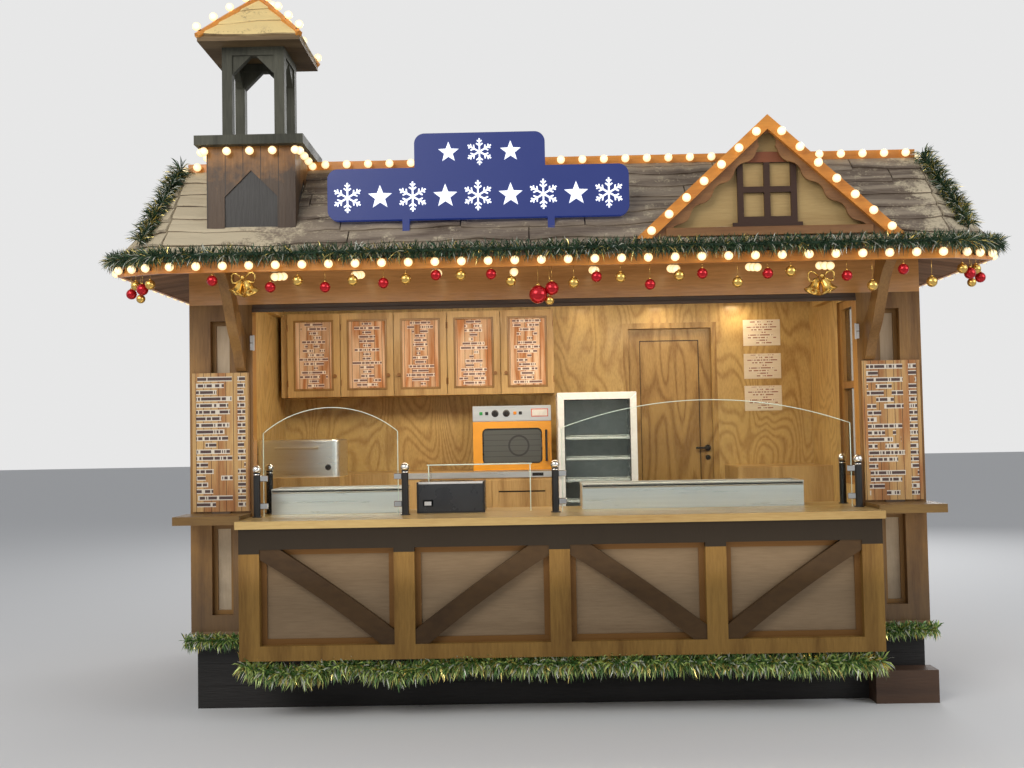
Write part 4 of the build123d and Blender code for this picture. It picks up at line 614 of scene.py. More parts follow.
# The back door: frame boards round a panel with a dark groove along its edge,
# in a plain lining, with dark iron handles and hinges.
door_varnish = timber("door_varnish", (0.54, 0.355, 0.125), (0.26, 0.140, 0.040), (1.0, 1.0, 0.2),
                      figure=3.4, rings=80, depth=0.55, coat=0.2)
door_left, door_right, door_low, door_high, groove = 0.762, 1.249, 0.580, 2.388, 0.007
groove_near, groove_far, groove_dark = 1.3040, 1.3070, (0.045, 0.022, 0.009)
proud_parts(door_varnish, [
    ((left, groove_near, low), (right, groove_far, high), groove_dark) for left, right, low, high in (
        (door_left, door_left + groove, door_low, door_high),
        (door_right - groove, door_right, door_low, door_high),
        (door_left, door_right, door_high - groove, door_high),
        (door_left, door_right, door_low, door_low + groove))])
dress(door_varnish, "back_door", "back_door_lining")
dark_iron = worn_metal("dark_iron", (0.035, 0.034, 0.033), metallic=0.6, rough=(0.3, 0.5))
dress(dark_iron, "back_door_hardware", "guard_posts")

# Three papers are pinned to the back wall right of the door, with rows of small
# red-brown dashes in place of any text.
paper_left, paper_right, pin_inset = 1.607, 1.909, 0.008
paper_pitch, paper_ink, paper_halo = 0.0215, (0.36, 0.16, 0.10), (0.90, 0.86, 0.76)
for number, (low, high) in enumerate(((1.795, 1.999), (2.056, 2.261), (2.326, 2.539)), 1):
    dashes = ((paper_left + paper_right) / 2, 5.0, 0.15, low + 0.012, high - 0.010, paper_pitch, 0.0,
              paper_ink, paper_halo)
    paper_print = timber(f"wall_paper_{number}", (0.86, 0.79, 0.66), (0.76, 0.66, 0.52), ALONG_X,
                         polish=0.6, rows=dashes)
    wall_paper = Shape()
    wall_paper.eased_block((paper_left, 1.2385, low), (paper_right, 1.2397, high), 0.0003)
    for x in (paper_left + pin_inset, paper_right - pin_inset):
        wall_paper.turned((x, 1.2386, high - pin_inset), FRONT,
                          [(0, 0.004), (0.002, 0.003), (0.003, 0.001)], sides=8, tone=1)
    wall_paper.make(f"wall_paper_{number}", "hut", "menu_board", paper_print, white_enamel)

# Ceiling with three downlights over the back wall, felt on the roof deck, and
# the boarded soffit of the overhang. All trim of the roof is orange.
dress(timber("ceiling_ply", ply_light, ply_dark, ALONG_X, figure=1.2, rings=60, depth=0.4), "ceiling")
dress(enamel("roof_felt", (0.09, 0.09, 0.095), rough=(0.8, 0.95), scale=60, relief=0.2), "roof_deck")
dress(timber("soffit_boards", (0.29, 0.140, 0.052), (0.14, 0.060, 0.022), ALONG_X, polish=0.7,
             boards=((0, 1, 0), 0.098, 0.004)), "canopy_soffit")
steel = worn_metal("brushed_steel", (0.84, 0.84, 0.79), rough=(0.26, 0.36), scale=60, stretch=(0.03, 1, 1),
                   relief=0.004)
lamp_glow = lamp_glass("lamp_glow", (0.9, 0.75, 0.5), 0.3, 0.4, (1.25, 0.7),
                       ((1.0, 0.93, 0.70), (1.0, 0.62, 0.20)))
lamp_rim = [(0, 0.030), (0.004, 0.047), (0.007, 0.046), (0.0075, 0.036), (0.003, 0.034)]
lamp_disc = [(0, 0.020), (0.0045, 0.033), (0.0055, 0.010)]
downlights = Shape()
for x, watts in ((0.29, 0.35), (0.91, 0.85), (1.54, 1.45)):
    downlights.turned((x, 1.05, 2.681), DOWN, lamp_rim, sides=28)
    downlights.turned((x, 1.05, 2.680), DOWN, lamp_disc, sides=28, tone=1)
    plain_lamp("downlight", (x, 1.08, 2.660), (x, 1.12, 1.0), (0.10, 0.10), watts, (1, 0.78, 0.5))
downlights.make("downlights", "hut", "steel", steel, lamp_glow)
trim_varnish = timber("trim_varnish", (0.74, 0.30, 0.050), (0.44, 0.140, 0.022), ALONG_X, figure=3.0,
                      rings=22, depth=0.35, polish=0.34, coat=0.2)
dress(trim_varnish, "eave_fascia", "ridge_boards", "dormer_barge_boards")

# Roof slopes: courses of rough split slabs over plain boards, dusted with snow
# whose warm tint and heaping at the ends are painted light.
# Each slab has its own length, lift and wavy lower edge, drawn facet by facet.
slab_timber = partial(timber, figure=5.0, rings=30, depth=0.7, polish=0.6, relief=0.5)
slab_light, slab_dark, roof_snow = (0.33, 0.265, 0.195), (0.11, 0.078, 0.056), (0.38, 7.0, 0.12, 1.45)
slab_wood = slab_timber("slab_wood", slab_light, slab_dark, ALONG_X, snow=roof_snow)
slab_side_wood = slab_timber("slab_side_wood", slab_light, slab_dark, ALONG_Y, snow=roof_snow)
dress(slab_wood, "roof_front_slope", "roof_back_slope", "dormer_roof")
dress(slab_side_wood, "roof_left_slope", "roof_right_slope")
slab_thick, slab_rows, slab_segment, slab_lap = 0.024, 7, 0.07, 1.35
shortest_slab, longest_slab, least_rest, half_gap = 0.55, 1.25, 0.15, 0.004


def slab_courses(shape, low_left, low_right, high_left, high_right, rng, rows=slab_rows, thick=slab_thick):
    """Courses of split slabs on a roof facet that is given by its four corners."""
    low_left, low_right, high_left, high_right = map(Vector, (low_left, low_right, high_left, high_right))
    out = (low_right - low_left).cross(high_left - low_left).normalized()
    if out.z < 0:
        out = -out

    def spot(share, rise, lift):
        left = low_left.lerp(high_left, rise)
        right = low_right.lerp(high_right, rise)
        return left.lerp(right, share) + out * lift

    for row in range(rows):
        foot, head = row / rows, min((row + slab_lap) / rows, 1.0)
        wide = (low_right.lerp(high_right, foot) - low_left.lerp(high_left, foot)).length
        if wide < 0.03:
            continue
        share = 0.0
        while share < 0.999:
            length = min(rng.uniform(shortest_slab, longest_slab) / wide, 1.0 - share)
            if 1.0 - share - length < least_rest / wide:
                length = 1.0 - share
            steps = max(2, int(length * wide / slab_segment))
            phase = rng.uniform(0, 6.28)
            body_lift = thick * rng.uniform(0.8, 1.1)
            gap = half_gap / wide
            rings = []
            for step in range(steps + 1):
                t = share + gap + (length - 2 * gap) * step / steps
                wobble = (0.10 * math.sin(phase + t * wide * 5.1)
                          + 0.07 * math.sin(phase * 2 + t * wide * 12.7) + rng.uniform(-0.035, 0.035)) / rows
                rise = max(foot + wobble + 0.02 / rows, 0.0)
                lift = body_lift * (1 + rng.uniform(-0.12, 0.12))
                section = ((0.0, 0.001), (0.0, lift * 0.75), (0.10, lift), (0.55, lift * 0.62), (1.0, 0.003),
                           (1.0, 0.001))
                rings.append([spot(t, rise + (head - rise) * part, height) for part, height in section])
            shape.skin(rings)
            share += length


eave_front_edge, eave_back_edge, eave_side_edge, chamfer = -1.700, 1.700, 2.610, 0.360
wall_front, wall_back, wall_side = -1.100, 1.340, 2.250
eave_low_front, eave_low_side, roof_ridge = 2.653, 2.689, 3.300
slab_seed = np.random.default_rng(11)
for label, eave_y, eave_z, wall_y in (("front", eave_front_edge, eave_low_front, wall_front),
                                      ("back", eave_back_edge, eave_low_side, wall_back)):
    slope_slabs = Shape()
    slab_courses(slope_slabs, (-wall_side, eave_y, eave_z), (wall_side, eave_y, eave_z),
                 (-wall_side, wall_y, roof_ridge), (wall_side, wall_y, roof_ridge), slab_seed)
    slope_slabs.make(label + "_roof_slabs", "hut", "roof_boards", slab_wood)
for side, label in ((-1, "left"), (1, "right")):
    cut_front = (side * eave_side_edge, eave_front_edge + chamfer, eave_low_side)
    cut_back = (side * eave_side_edge, eave_back_edge - chamfer, eave_low_side)
    end_front = (side * wall_side, wall_front, roof_ridge)
    end_back = (side * wall_side, wall_back, roof_ridge)
    side_slabs = Shape()
    slab_courses(side_slabs, cut_front, cut_back, end_front, end_back, slab_seed)
    slab_courses(side_slabs, (side * wall_side, eave_front_edge, eave_low_front), cut_front,
                 end_front, end_front, slab_seed)
    slab_courses(side_slabs, (side * wall_side, eave_back_edge, eave_low_side), cut_back,
                 end_back, end_back, slab_seed)
    side_slabs.make(label + "_roof_slabs", "hut", "roof_boards", slab_side_wood)


# Light chains: round warm bulbs in short sockets, screwed to the fascia, the
# ridge boards, the turret and the dormer, and in rows under the soffit.
socket_profile = [(0.0, 0.0125), (0.009, 0.0125), (0.011, 0.0095), (0.014, 0.0095)]
bulb_profile = [(0.0, 0.009), (0.005, 0.0170), (0.015, 0.0243), (0.027, 0.0250), (0.038, 0.0193),
                (0.045, 0.0092), (0.047, 0.002)]


def bulb(shape, place, out):
    """One bulb in its socket: tone 0 is the socket, tone 1 the glass."""
    shape.turned(place, out, socket_profile, sides=8)
    shape.turned(Vector(place) + Vector(out).normalized() * 0.012, out, bulb_profile, tone=1)


def bulb_line(shape, start, finish, out, spacing, skip=None):
    """Bulbs from start to finish at about the spacing, except where skip(spot) is true."""
    start, finish = Vector(start), Vector(finish)
    count = max(int(round((finish - start).length / spacing)), 1)
    for step in range(count):
        spot = start.lerp(finish, (step + 0.5) / count)
        if not (skip and skip(spot)):
            bulb(shape, spot, out)


bulb_glow = lamp_glass("bulb_glow", (0.95, 0.80, 0.50), 0.12, 0.35, (1.15, 0.8),
                       ((1.0, 0.88, 0.56), (1.0, 0.50, 0.10)))
socket_brown = enamel("socket_brown", (0.10, 0.055, 0.025), rough=(0.35, 0.5))


def make_bulbs(shape, name):
    shape.make(name, "hut", "glass", socket_brown, bulb_glow, smooth=True)


fascia_half, fascia_spacing, ridge_spacing = 0.0315, 0.15, 0.132
eave_ring = [(-wall_side, eave_front_edge), (wall_side, eave_front_edge),
             (eave_side_edge, eave_front_edge + chamfer), (eave_side_edge, eave_back_edge - chamfer),
             (wall_side, eave_back_edge), (-wall_side, eave_back_edge),
             (-eave_side_edge, eave_back_edge - chamfer), (-eave_side_edge, eave_front_edge + chamfer)]
eave_tops = [eave_low_front] * 2 + [eave_low_side] * 6
fascia_bulbs = Shape()
for index in range(8):
    after = (index + 1) % 8
    (x, y), (next_x, next_y) = eave_ring[index], eave_ring[after]
    run = Vector((next_x - x, next_y - y, 0)).normalized()
    bulb_line(fascia_bulbs, (x, y, eave_tops[index] - fascia_half),
              (next_x, next_y, eave_tops[after] - fascia_half), (run.y, -run.x, 0), fascia_spacing)
make_bulbs(fascia_bulbs, "fascia_bulbs")

turret_x, turret_y, dormer_x = -1.760, -1.260, 1.229
ridge_middle = roof_ridge + 0.0275
ridge_bulbs = Shape()
front_left, front_right = (-wall_side, wall_front, ridge_middle), (wall_side, wall_front, ridge_middle)
back_left, back_right = (-wall_side, wall_back, ridge_middle), (wall_side, wall_back, ridge_middle)
turret_gap, dormer_gap = 0.34, 0.17
bulb_line(ridge_bulbs, front_left, front_right, FRONT, ridge_spacing,
          lambda spot: abs(spot.x - turret_x) < turret_gap or abs(spot.x - dormer_x) < dormer_gap)
bulb_line(ridge_bulbs, back_left, back_right, BACK, ridge_spacing)
bulb_line(ridge_bulbs, front_left, back_left, (-1, 0, 0), ridge_spacing)
bulb_line(ridge_bulbs, front_right, back_right, (1, 0, 0), ridge_spacing)
make_bulbs(ridge_bulbs, "ridge_bulbs")

soffit_fall, soffit_level = 0.15, 2.680
soffit_bulbs = Shape()
for x in (-1.62, -1.154, -0.69, -0.233, 0.237, 0.704, 1.173, 1.593):
    for y in (-1.30, -1.42, -1.54):
        bulb(soffit_bulbs, (x, y, soffit_level - soffit_fall * (wall_front - y) + 0.001), DOWN)
    soffit_bulbs.eased_block((x - 0.020, -1.585, 2.6245), (x + 0.020, -1.255, 2.6325), 0.002,
                             turn=Matrix.Rotation(math.atan(soffit_fall), 3, "X"))
make_bulbs(soffit_bulbs, "soffit_bulbs")

# The turret: a boarded box under a flat cap, darkened below as painted shade and
# with a pointed recess on each face painted dark as shade, an open belfry of dark
# posts and a slab roof with varnished hip boards.
# Painted shade: the box darkens towards the bottom and stays orange at the top, as if lit by the bulbs under
# the cap.
turret_varnish = timber("turret_varnish", (0.52, 0.24, 0.060), (0.23, 0.090, 0.020), figure=3.0, rings=26,
                        boards=((1, 1, 0), 0.104, 0.004), grime=(3.13, 0.24, 0.88))
turret_face, recess_depth, recess_reach, recess_low, recess_peak = 0.260, 0.008, 0.155, 2.6, 3.213
recess_painted_shade = (0.050, 0.045, 0.040)
# Painted shade: the face inside each pointed recess is tinted near black.
for side in (-1, 1):
    near, far = sorted(side * (turret_face - recess_depth + past) for past in (-0.002, 0.003))
    proud_parts(turret_varnish, (
        ((turret_x - recess_reach, turret_y + near, recess_low),
         (turret_x + recess_reach, turret_y + far, recess_peak), recess_painted_shade),
        ((turret_x + near, turret_y - recess_reach, recess_low),
         (turret_x + far, turret_y + recess_reach, recess_peak), recess_painted_shade)))
dress(turret_varnish, "turret_box")
dress(timber("belfry_stain", (0.085, 0.083, 0.058), (0.030, 0.030, 0.022), polish=0.6),
      "turret_cap", "belfry_frame")
dress(timber("turret_eave", (0.20, 0.130, 0.060), (0.080, 0.050, 0.024), ALONG_X, polish=0.6), "turret_roof")
pyramid_half, pyramid_low, pyramid_top, peak_half = 0.300, 3.994, 4.320, 0.012
corners_round = ((-1, -1), (1, -1), (1, 1), (-1, 1))


def hip_spot(sx, sy, reach, level):
    return Vector((turret_x + sx * reach, turret_y + sy * reach, level))


hip_boards = Shape()
for sx, sy in corners_round:
    foot = hip_spot(sx, sy, pyramid_half - 0.008, pyramid_low - 0.004)
    peak = hip_spot(sx, sy, peak_half, pyramid_top - 0.012)
    proud = Vector((sx * 0.5, sy * 0.5, 0.75)).normalized() * 0.016
    hip_boards.rod([foot + proud, foot.lerp(peak, 0.5) + proud, peak + proud * 0.5], 0.021, sides=6)
hip_boards.make("turret_hip_boards", "hut", "trim_boards", trim_varnish)
# Painted light: the snow on the turret roof is tinted gold for the glow of the bulbs round it.
pyramid_wood = slab_timber("pyramid_wood", (0.66, 0.50, 0.27), (0.24, 0.165, 0.085), ALONG_X,
                           snow=(0.70, 7.0, 0.12, 9.0), snow_tint=(0.84, 0.64, 0.29))
turret_slabs = Shape()
base, pyramid_tall = Vector((turret_x, turret_y, pyramid_low)), pyramid_top - pyramid_low
for turn in range(4):
    spin = Matrix.Rotation(turn * math.pi / 2, 3, "Z")
    facet = [base + spin @ Vector((x, -half, z)) for x, half, z in (
        (-pyramid_half, pyramid_half, 0), (pyramid_half, pyramid_half, 0),
        (-peak_half, peak_half, pyramid_tall), (peak_half, peak_half, pyramid_tall))]
    slab_courses(turret_slabs, *facet, slab_seed, rows=3, thick=0.016)
turret_slabs.make("turret_roof_slabs", "hut", "roof_boards", pyramid_wood)
turret_bulbs = Shape()
cap_low, cap_high = (Vector(corner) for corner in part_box("turret_cap"))
cap_inset, cap_under = 0.028, cap_low.z + 0.001
for row in range(5):
    share = 0.08 + 0.84 * row / 4
    x, y = cap_low.x + (cap_high.x - cap_low.x) * share, cap_low.y + (cap_high.y - cap_low.y) * share
    for place in ((x, cap_low.y + cap_inset), (cap_low.x + cap_inset, y), (cap_high.x - cap_inset, y)):
        bulb(turret_bulbs, (*place, cap_under), DOWN)
for sx, sy in corners_round:
    out = Vector((sx * 0.5, sy * 0.5, 0.75)).normalized()
    for step in range(4):
        share = 0.08 + 0.26 * step
        spot = hip_spot(sx, sy, pyramid_half * (1 - share), pyramid_low + pyramid_tall * share)
        bulb(turret_bulbs, spot + out * 0.017, out)
make_bulbs(turret_bulbs, "turret_bulbs")


# Tinsel garlands: foil needles stand out round a wire. One runs round the eave,
# short ones climb the cut corners, and brighter ones lie along the base.
needle_waist, needle_droop = 0.6, 0.16


def tinsel(shape, route, reach, per_metre, rng, gold_share, width=1.0):
    """Needles round each run of the route, with one thin core. Tones 2 and 3 are gold and pale needles that
    are painted glints.
    """
    for start, finish in zip(route, route[1:]):
        start, finish = Vector(start), Vector(finish)
        heading = (finish - start).normalized()
        side = heading.orthogonal().normalized()
        other = heading.cross(side)
        for _ in range(int((finish - start).length * per_metre)):
            angle = rng.uniform(0, 2 * math.pi)
            out = side * math.cos(angle) + other * math.sin(angle) + heading * rng.uniform(-0.75, 0.75)
            out.normalize()
            root = start.lerp(finish, rng.random()) + out * reach * 0.12
            length = reach * rng.uniform(0.55, 0.95)
            across = out.cross(Vector(rng.normal(size=3))).normalized() * rng.uniform(0.0016, 0.0030) * width
            middle = root + out * length * needle_waist
            droop = Vector((0, 0, -needle_droop * length))
            tip = root + out * length + droop + across * rng.uniform(-2, 2)
            tone = 2 + int(rng.random() < 0.45) if rng.random() < gold_share else int(rng.random() < 0.4)
            shape.add([root - across, root + across, middle + across, middle - across, tip],
                      [(0, 1, 2, 3), (3, 2, 4)], tone)
        shape.rod([start, finish], reach * 0.13, sides=6)


foil = partial(worn_metal, scale=90)
foil_dark = foil("foil_dark", (0.022, 0.058, 0.028), metallic=0.25, rough=(0.22, 0.5))
foil_olive = foil("foil_olive", (0.065, 0.125, 0.055), metallic=0.3, rough=(0.2, 0.4))
# Painted glints: pale needles stand in for the sparkle of the foil.
foil_frost = foil("foil_frost", (0.70, 0.72, 0.62), metallic=0.2, rough=(0.2, 0.4))
foil_green = foil("foil_green", (0.105, 0.22, 0.060), metallic=0.3, rough=(0.2, 0.4))
foil_gold = foil("foil_gold", (0.82, 0.66, 0.22), metallic=0.75, rough=(0.15, 0.3))
# Painted glints: the yellow-green needles of the base garland stand in for the sparkle of its foil.
foil_bright = foil("foil_bright", (0.55, 0.68, 0.22), metallic=0.2, rough=(0.25, 0.45))
tinsel_seed = np.random.default_rng(5)
tinsel_out = 0.034
corner_out = 0.42 * tinsel_out
eave_tinsel = Shape()
ring_route = []
for index in range(9):
    x, y = eave_ring[index % 8]
    out_x, out_y = (corner_out, tinsel_out) if abs(x) < wall_side + 0.01 else (tinsel_out, corner_out)
    ring_route.append((x + math.copysign(out_x, x), y + math.copysign(out_y, y),
                       eave_tops[index % 8] + tinsel_out))
tinsel(eave_tinsel, ring_route, 0.082, 1500, tinsel_seed, 0.17)
for sx in (-1, 1):
    for sy, level, wall_y in ((-1, 2.671, wall_front), (1, 2.689, wall_back)):
        foot = Vector((sx * 2.430, sy * 1.520, level))
        peak = Vector((sx * wall_side, wall_y, roof_ridge))
        lift = Vector((sx * 0.7, sy * 0.7, 0.45)).normalized() * 0.054
        tinsel(eave_tinsel, [foot.lerp(peak, 0.20) + lift, peak + lift], 0.100, 2100, tinsel_seed, 0.34)
eave_tinsel.make("eave_tinsel", "hut", "tinsel", foil_dark, foil_olive, foil_gold, foil_frost,
                 repair=False)
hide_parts("eave_garlands")
base_tinsel = Shape()
counter_swags = ((-1.860, 0.335), (-1.700, 0.290), (-1.526, 0.272), (-1.380, 0.300), (-1.233, 0.332),
                 (-1.100, 0.300), (-0.971, 0.276), (-0.760, 0.305), (-0.535, 0.332), (-0.176, 0.312),
                 (0.493, 0.318), (1.406, 0.293), (1.860, 0.300))
tinsel(base_tinsel, [(x, -1.450, z) for x, z in counter_swags], 0.098, 1900, tinsel_seed, 0.30, width=1.8)
for side in (-1, 1):
    tinsel(base_tinsel, [(side * x, -1.1465, 0.425) for x in (1.885, 2.275)], 0.070, 1800,
           tinsel_seed, 0.25, width=1.6)
base_tinsel.make("base_tinsel", "hut", "tinsel", foil_green, foil_bright, foil_gold, foil_frost,
                 repair=False)
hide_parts("base_garlands")


# Baubles hang on gold threads from the eave, with two pairs of bells, a large
# red cluster in the middle and a small cluster under each cut corner.
def ball_profile(radius, rows):
    angles = [math.pi * row / rows for row in range(rows + 1)]
    return [(radius * (1 - math.cos(angle)), radius * math.sin(angle)) for angle in angles]


def bauble(shape, place, radius, tone, thread_to):
    x, y, z = place
    cap = [(0, radius * 0.26), (radius * 0.22, radius * 0.24), (radius * 0.24, 0.001)]
    shape.turned((x, y, z - radius), UP, ball_profile(radius, 8), sides=14, tone=tone)
    shape.turned((x, y, z + radius * 0.94), UP, cap, sides=10, tone=1)
    shape.rod([(x, y, z + radius * 1.15), (x, y, thread_to)], 0.0011, sides=4, tone=1)


bauble_red = worn_metal("bauble_red", (0.55, 0.012, 0.020), metallic=0.55, rough=(0.10, 0.2), scale=20)
bauble_gold = worn_metal("bauble_gold", (0.78, 0.50, 0.13), metallic=0.85, rough=(0.14, 0.26), scale=20)
thread_y, thread_top = -1.690, 2.592
baubles = Shape()
for x, z, tone in (
        (-1.945, 2.544, 0), (-1.615, 2.501, 0), (-1.459, 2.535, 1), (-1.303, 2.495, 0), (-1.146, 2.530, 1),
        (-0.972, 2.512, 0), (-0.846, 2.532, 1), (-0.674, 2.551, 0), (-0.533, 2.548, 1), (-0.361, 2.550, 0),
        (-0.249, 2.509, 1), (0.105, 2.492, 1), (0.235, 2.524, 0), (0.370, 2.518, 1), (0.536, 2.474, 0),
        (0.701, 2.522, 1), (0.832, 2.530, 0), (1.029, 2.477, 1), (1.200, 2.523, 0), (1.330, 2.533, 1),
        (1.645, 2.502, 0), (1.787, 2.443, 1), (1.963, 2.532, 0), (2.121, 2.458, 1)):
    bauble(baubles, (x, thread_y, z), 0.031, tone, thread_top)
for dx, dz, radius, tone in ((-0.038, -0.012, 0.052, 0), (0.040, 0.022, 0.040, 0),
                             (0.026, -0.046, 0.026, 1)):
    bauble(baubles, (-0.059 + dx, thread_y - radius * 0.2, 2.440 + dz), radius, tone, thread_top)
for side in (-1, 1):
    for dx, dy, dz, radius, tone in (
            (0, 0, 0, 0.034, 0), (0.055, 0.050, 0.030, 0.029, 1), (-0.060, -0.045, 0.022, 0.030, 1),
            (0.100, 0.105, -0.012, 0.031, 0), (0.020, 0.030, -0.050, 0.026, 1)):
        bauble(baubles, (side * (2.390 + dx), -1.548 + dy, 2.520 + dz), radius, tone, 2.620)
baubles.make("baubles", "hut", "tinsel", bauble_red, bauble_gold, smooth=True)

bells = Shape()
bell_profile = [(0, 0.006), (0.004, 0.016), (0.016, 0.024), (0.045, 0.028), (0.066, 0.036), (0.080, 0.050),
                (0.083, 0.052), (0.080, 0.047), (0.062, 0.031), (0.020, 0.020)]
clapper = [(0, 0.004), (0.008, 0.011), (0.018, 0.011), (0.024, 0.003)]
knot = [(0, 0.006), (0.005, 0.013), (0.012, 0.006)]
for x, z in ((-1.764, 2.545), (1.495, 2.490)):
    for side in (-1, 1):
        hang = Vector((side * 0.42, -0.12, -1)).normalized()
        top = Vector((x + side * 0.012, thread_y - 0.012 * side, z))
        bells.turned(top, hang, bell_profile, sides=18)
        bells.turned(top + hang * 0.070, hang, clapper, sides=10)
        loop = [top + Vector((side * 0.058 * math.sin(t), -0.018, 0.010 + 0.030 * math.sin(2 * t)))
                for t in (0.1, 0.5, 0.9, 1.3, 1.7, 2.1, 2.5, 2.9)]
        bells.rod(loop, 0.0055, sides=6)
        ribbon = [top + Vector((0, -0.018, 0.010)), top + Vector((side * 0.045, -0.024, -0.060))]
        bells.rod(ribbon, 0.0045, sides=6)
    bells.turned((x, thread_y - 0.030, z + 0.010), FRONT, knot, sides=10)
    bells.rod([(x, thread_y, z), (x, thread_y, thread_top)], 0.0012, sides=4)
bells.make("gold_bells", "hut", "tinsel", bauble_gold, smooth=True)

# The dormer: cream gable with a dark window, orange barge boards with scalloped
# boards behind them, and a board along its foot.
gable_face, gable_sky, casement_half, gable_half = -1.5805, -1.70, 0.215, 0.80
painted_timber = partial(timber, stretch=ALONG_X, figure=1.6, rings=40, depth=0.35, polish=0.4)
gable_paint = painted_timber("gable_paint", (0.50, 0.345, 0.145), (0.37, 0.235, 0.090))
for half, low, high, tint in ((casement_half, 2.795, 3.1765, (0.060, 0.026, 0.014)),
                              (casement_half, 3.1765, 3.30, (0.27, 0.085, 0.035)),
                              (gable_half, 2.70, 2.7885, (0.34, 0.145, 0.045))):
    corner, far_corner = (dormer_x - half, gable_sky, low), (dormer_x + half, gable_face, high)
    proud_parts(gable_paint, [(corner, far_corner, tint)])
dress(gable_paint, "dormer_wall")
barge_apex, barge_half, barge_fall = Vector((dormer_x, -1.660, 3.440)), 0.765, 0.700
barge_first, barge_spacing, barge_middle = 0.125, 0.137, 0.031
barge_run = Vector((barge_half, 0, -barge_fall)).normalized()
barge_bulbs = Shape()
for side in (-1, 1):
    down = Vector((side * barge_run.x, 0, barge_run.z))
    inward = Vector((side * barge_run.z, 0, -barge_run.x))
    for step in range(7):
        along = down * (barge_first + barge_spacing * step)
        bulb(barge_bulbs, barge_apex + along + inward * barge_middle, FRONT)
make_bulbs(barge_bulbs, "barge_bulbs")
scallop_varnish = timber("scallop_varnish", (0.31, 0.150, 0.052), (0.17, 0.070, 0.024), ALONG_X, coat=0.2)
dress(scallop_varnish, "dormer_scalloped_boards")
foot_board = Shape()
foot_board.eased_block((dormer_x - 0.590, -1.646, 2.750), (dormer_x + 0.590, -1.622, 2.800), 0.003)
foot_board.make("dormer_foot_board", "hut", "trim_boards", scallop_varnish)

# The sign: a flat dark blue lamp box. The lettering of such a sign is left off:
# raised stars and snowflakes glow in its place.
sign_shell = enamel("sign_shell", (0.010, 0.014, 0.062), rough=(0.3, 0.45), scale=3.0)
set_surface(sign_shell, Emission_Color=colour(0.03, 0.09, 0.60), Emission_Strength=0.22)
dress(sign_shell, "sign_panel")
sign_glow = new_material("sign_glow", Base_Color=colour(0.9, 0.93, 1.0), Roughness=0.3,
                         Emission_Strength=0.75)
glow_tree = sign_glow.node_tree
sign_drift = noise(glow_tree, object_place(glow_tree), 9.0, 2.0, 0.5)
sign_tint = blend_colour(glow_tree, sign_drift, colour(0.74, 0.82, 1.0), colour(1.0, 1.0, 1.0))
set_surface(sign_glow, Emission_Color=sign_tint)
sign_face, mark_thick = -1.5505, 0.010


def raised_star(shape, centre, reach, arms=5, waist=0.42, thick=mark_thick):
    """Star with a flat face and eased rim on an upright plate that faces the front."""
    x, y, z = centre
    points, faces = [], []
    spots = 2 * arms
    for depth, scale in ((0.0, 1.0), (-thick * 0.7, 1.0), (-thick, 0.93)):
        for step in range(spots):
            angle = math.pi / 2 + math.pi * step / arms
            radius = reach * scale * (waist if step % 2 else 1.0)
            points.append((x + radius * math.cos(angle), y + depth, z + radius * math.sin(angle)))
    for row in range(2):
        for step in range(spots):
            here, after = row * spots + step, row * spots + (step + 1) % spots
            faces.append((here, after, after + spots, here + spots))
    points.append((x, y - thick, z))
    for step in range(spots):
        faces.append((2 * spots + step, 2 * spots + (step + 1) % spots, 3 * spots))
    faces.append(tuple(reversed(range(spots))))
    shape.add(points, faces)


def raised_snowflake(shape, centre, reach, thick=mark_thick):
    """Six-armed snow crystal of flat bars, each arm with two pairs of side twigs."""
    for arm in range(6):
        turn = Matrix.Rotation(math.pi / 3 * arm, 3, "Y")
        base = Vector(centre) + Vector((0, -thick / 2, 0))
        bars = [((0, 0, 0), (0, 0, 1), 1.0, 0.11)]
        for share, length in ((0.45, 0.30), (0.72, 0.22)):
            for side in (-1, 1):
                bars.append(((0, 0, share), (side * 0.8, 0, 0.6), length, 0.09))
        for start, heading, length, width in bars:
            heading = Vector(heading).normalized()
            spin = turn @ Matrix.Rotation(math.atan2(heading.x, heading.z), 3, "Y")
            middle = base + turn @ Vector(start) * reach + spin @ Vector((0, 0, length * reach / 2))
            half = Vector((width * reach / 2, thick / 2, length * reach / 2))
            shape.eased_block(middle - half, middle + half, 0.0015, turn=spin)


sign_marks = Shape()
for count, first_x, pitch, level, flake_reach, star_reach, star_first in (
        (9, -1.1905, 0.1895, 3.030, 0.088, 0.072, 0), (3, -0.600, 0.180, 3.285, 0.078, 0.062, 1)):
    for step in range(count):
        centre = (first_x + step * pitch, sign_face, level)
        if (step + star_first) % 2:
            raised_star(sign_marks, centre, star_reach)
        else:
            raised_snowflake(sign_marks, centre, flake_reach)
sign_marks.make("sign_marks", "hut", "sign_panel", sign_glow)

# The counter: a yellow oiled top, varnished posts whose upper ends and top rail
# are painted near black as shade under the overhang of the top, cream panels in
# brown beads and bowed dark braces let in between the posts.
dress(timber("counter_oil", (0.47, 0.335, 0.135), (0.29, 0.175, 0.055), ALONG_X, figure=2.0, rings=30,
             depth=0.4, polish=0.3, coat=0.25), "counter_top")
dress(timber("shelf_oil", (0.22, 0.130, 0.036), (0.11, 0.055, 0.014), ALONG_X, figure=2.0, rings=30,
             coat=0.15), "side_shelves")
counter_varnish = timber("counter_varnish", (0.24, 0.135, 0.034), (0.11, 0.053, 0.012), coat=0.06)
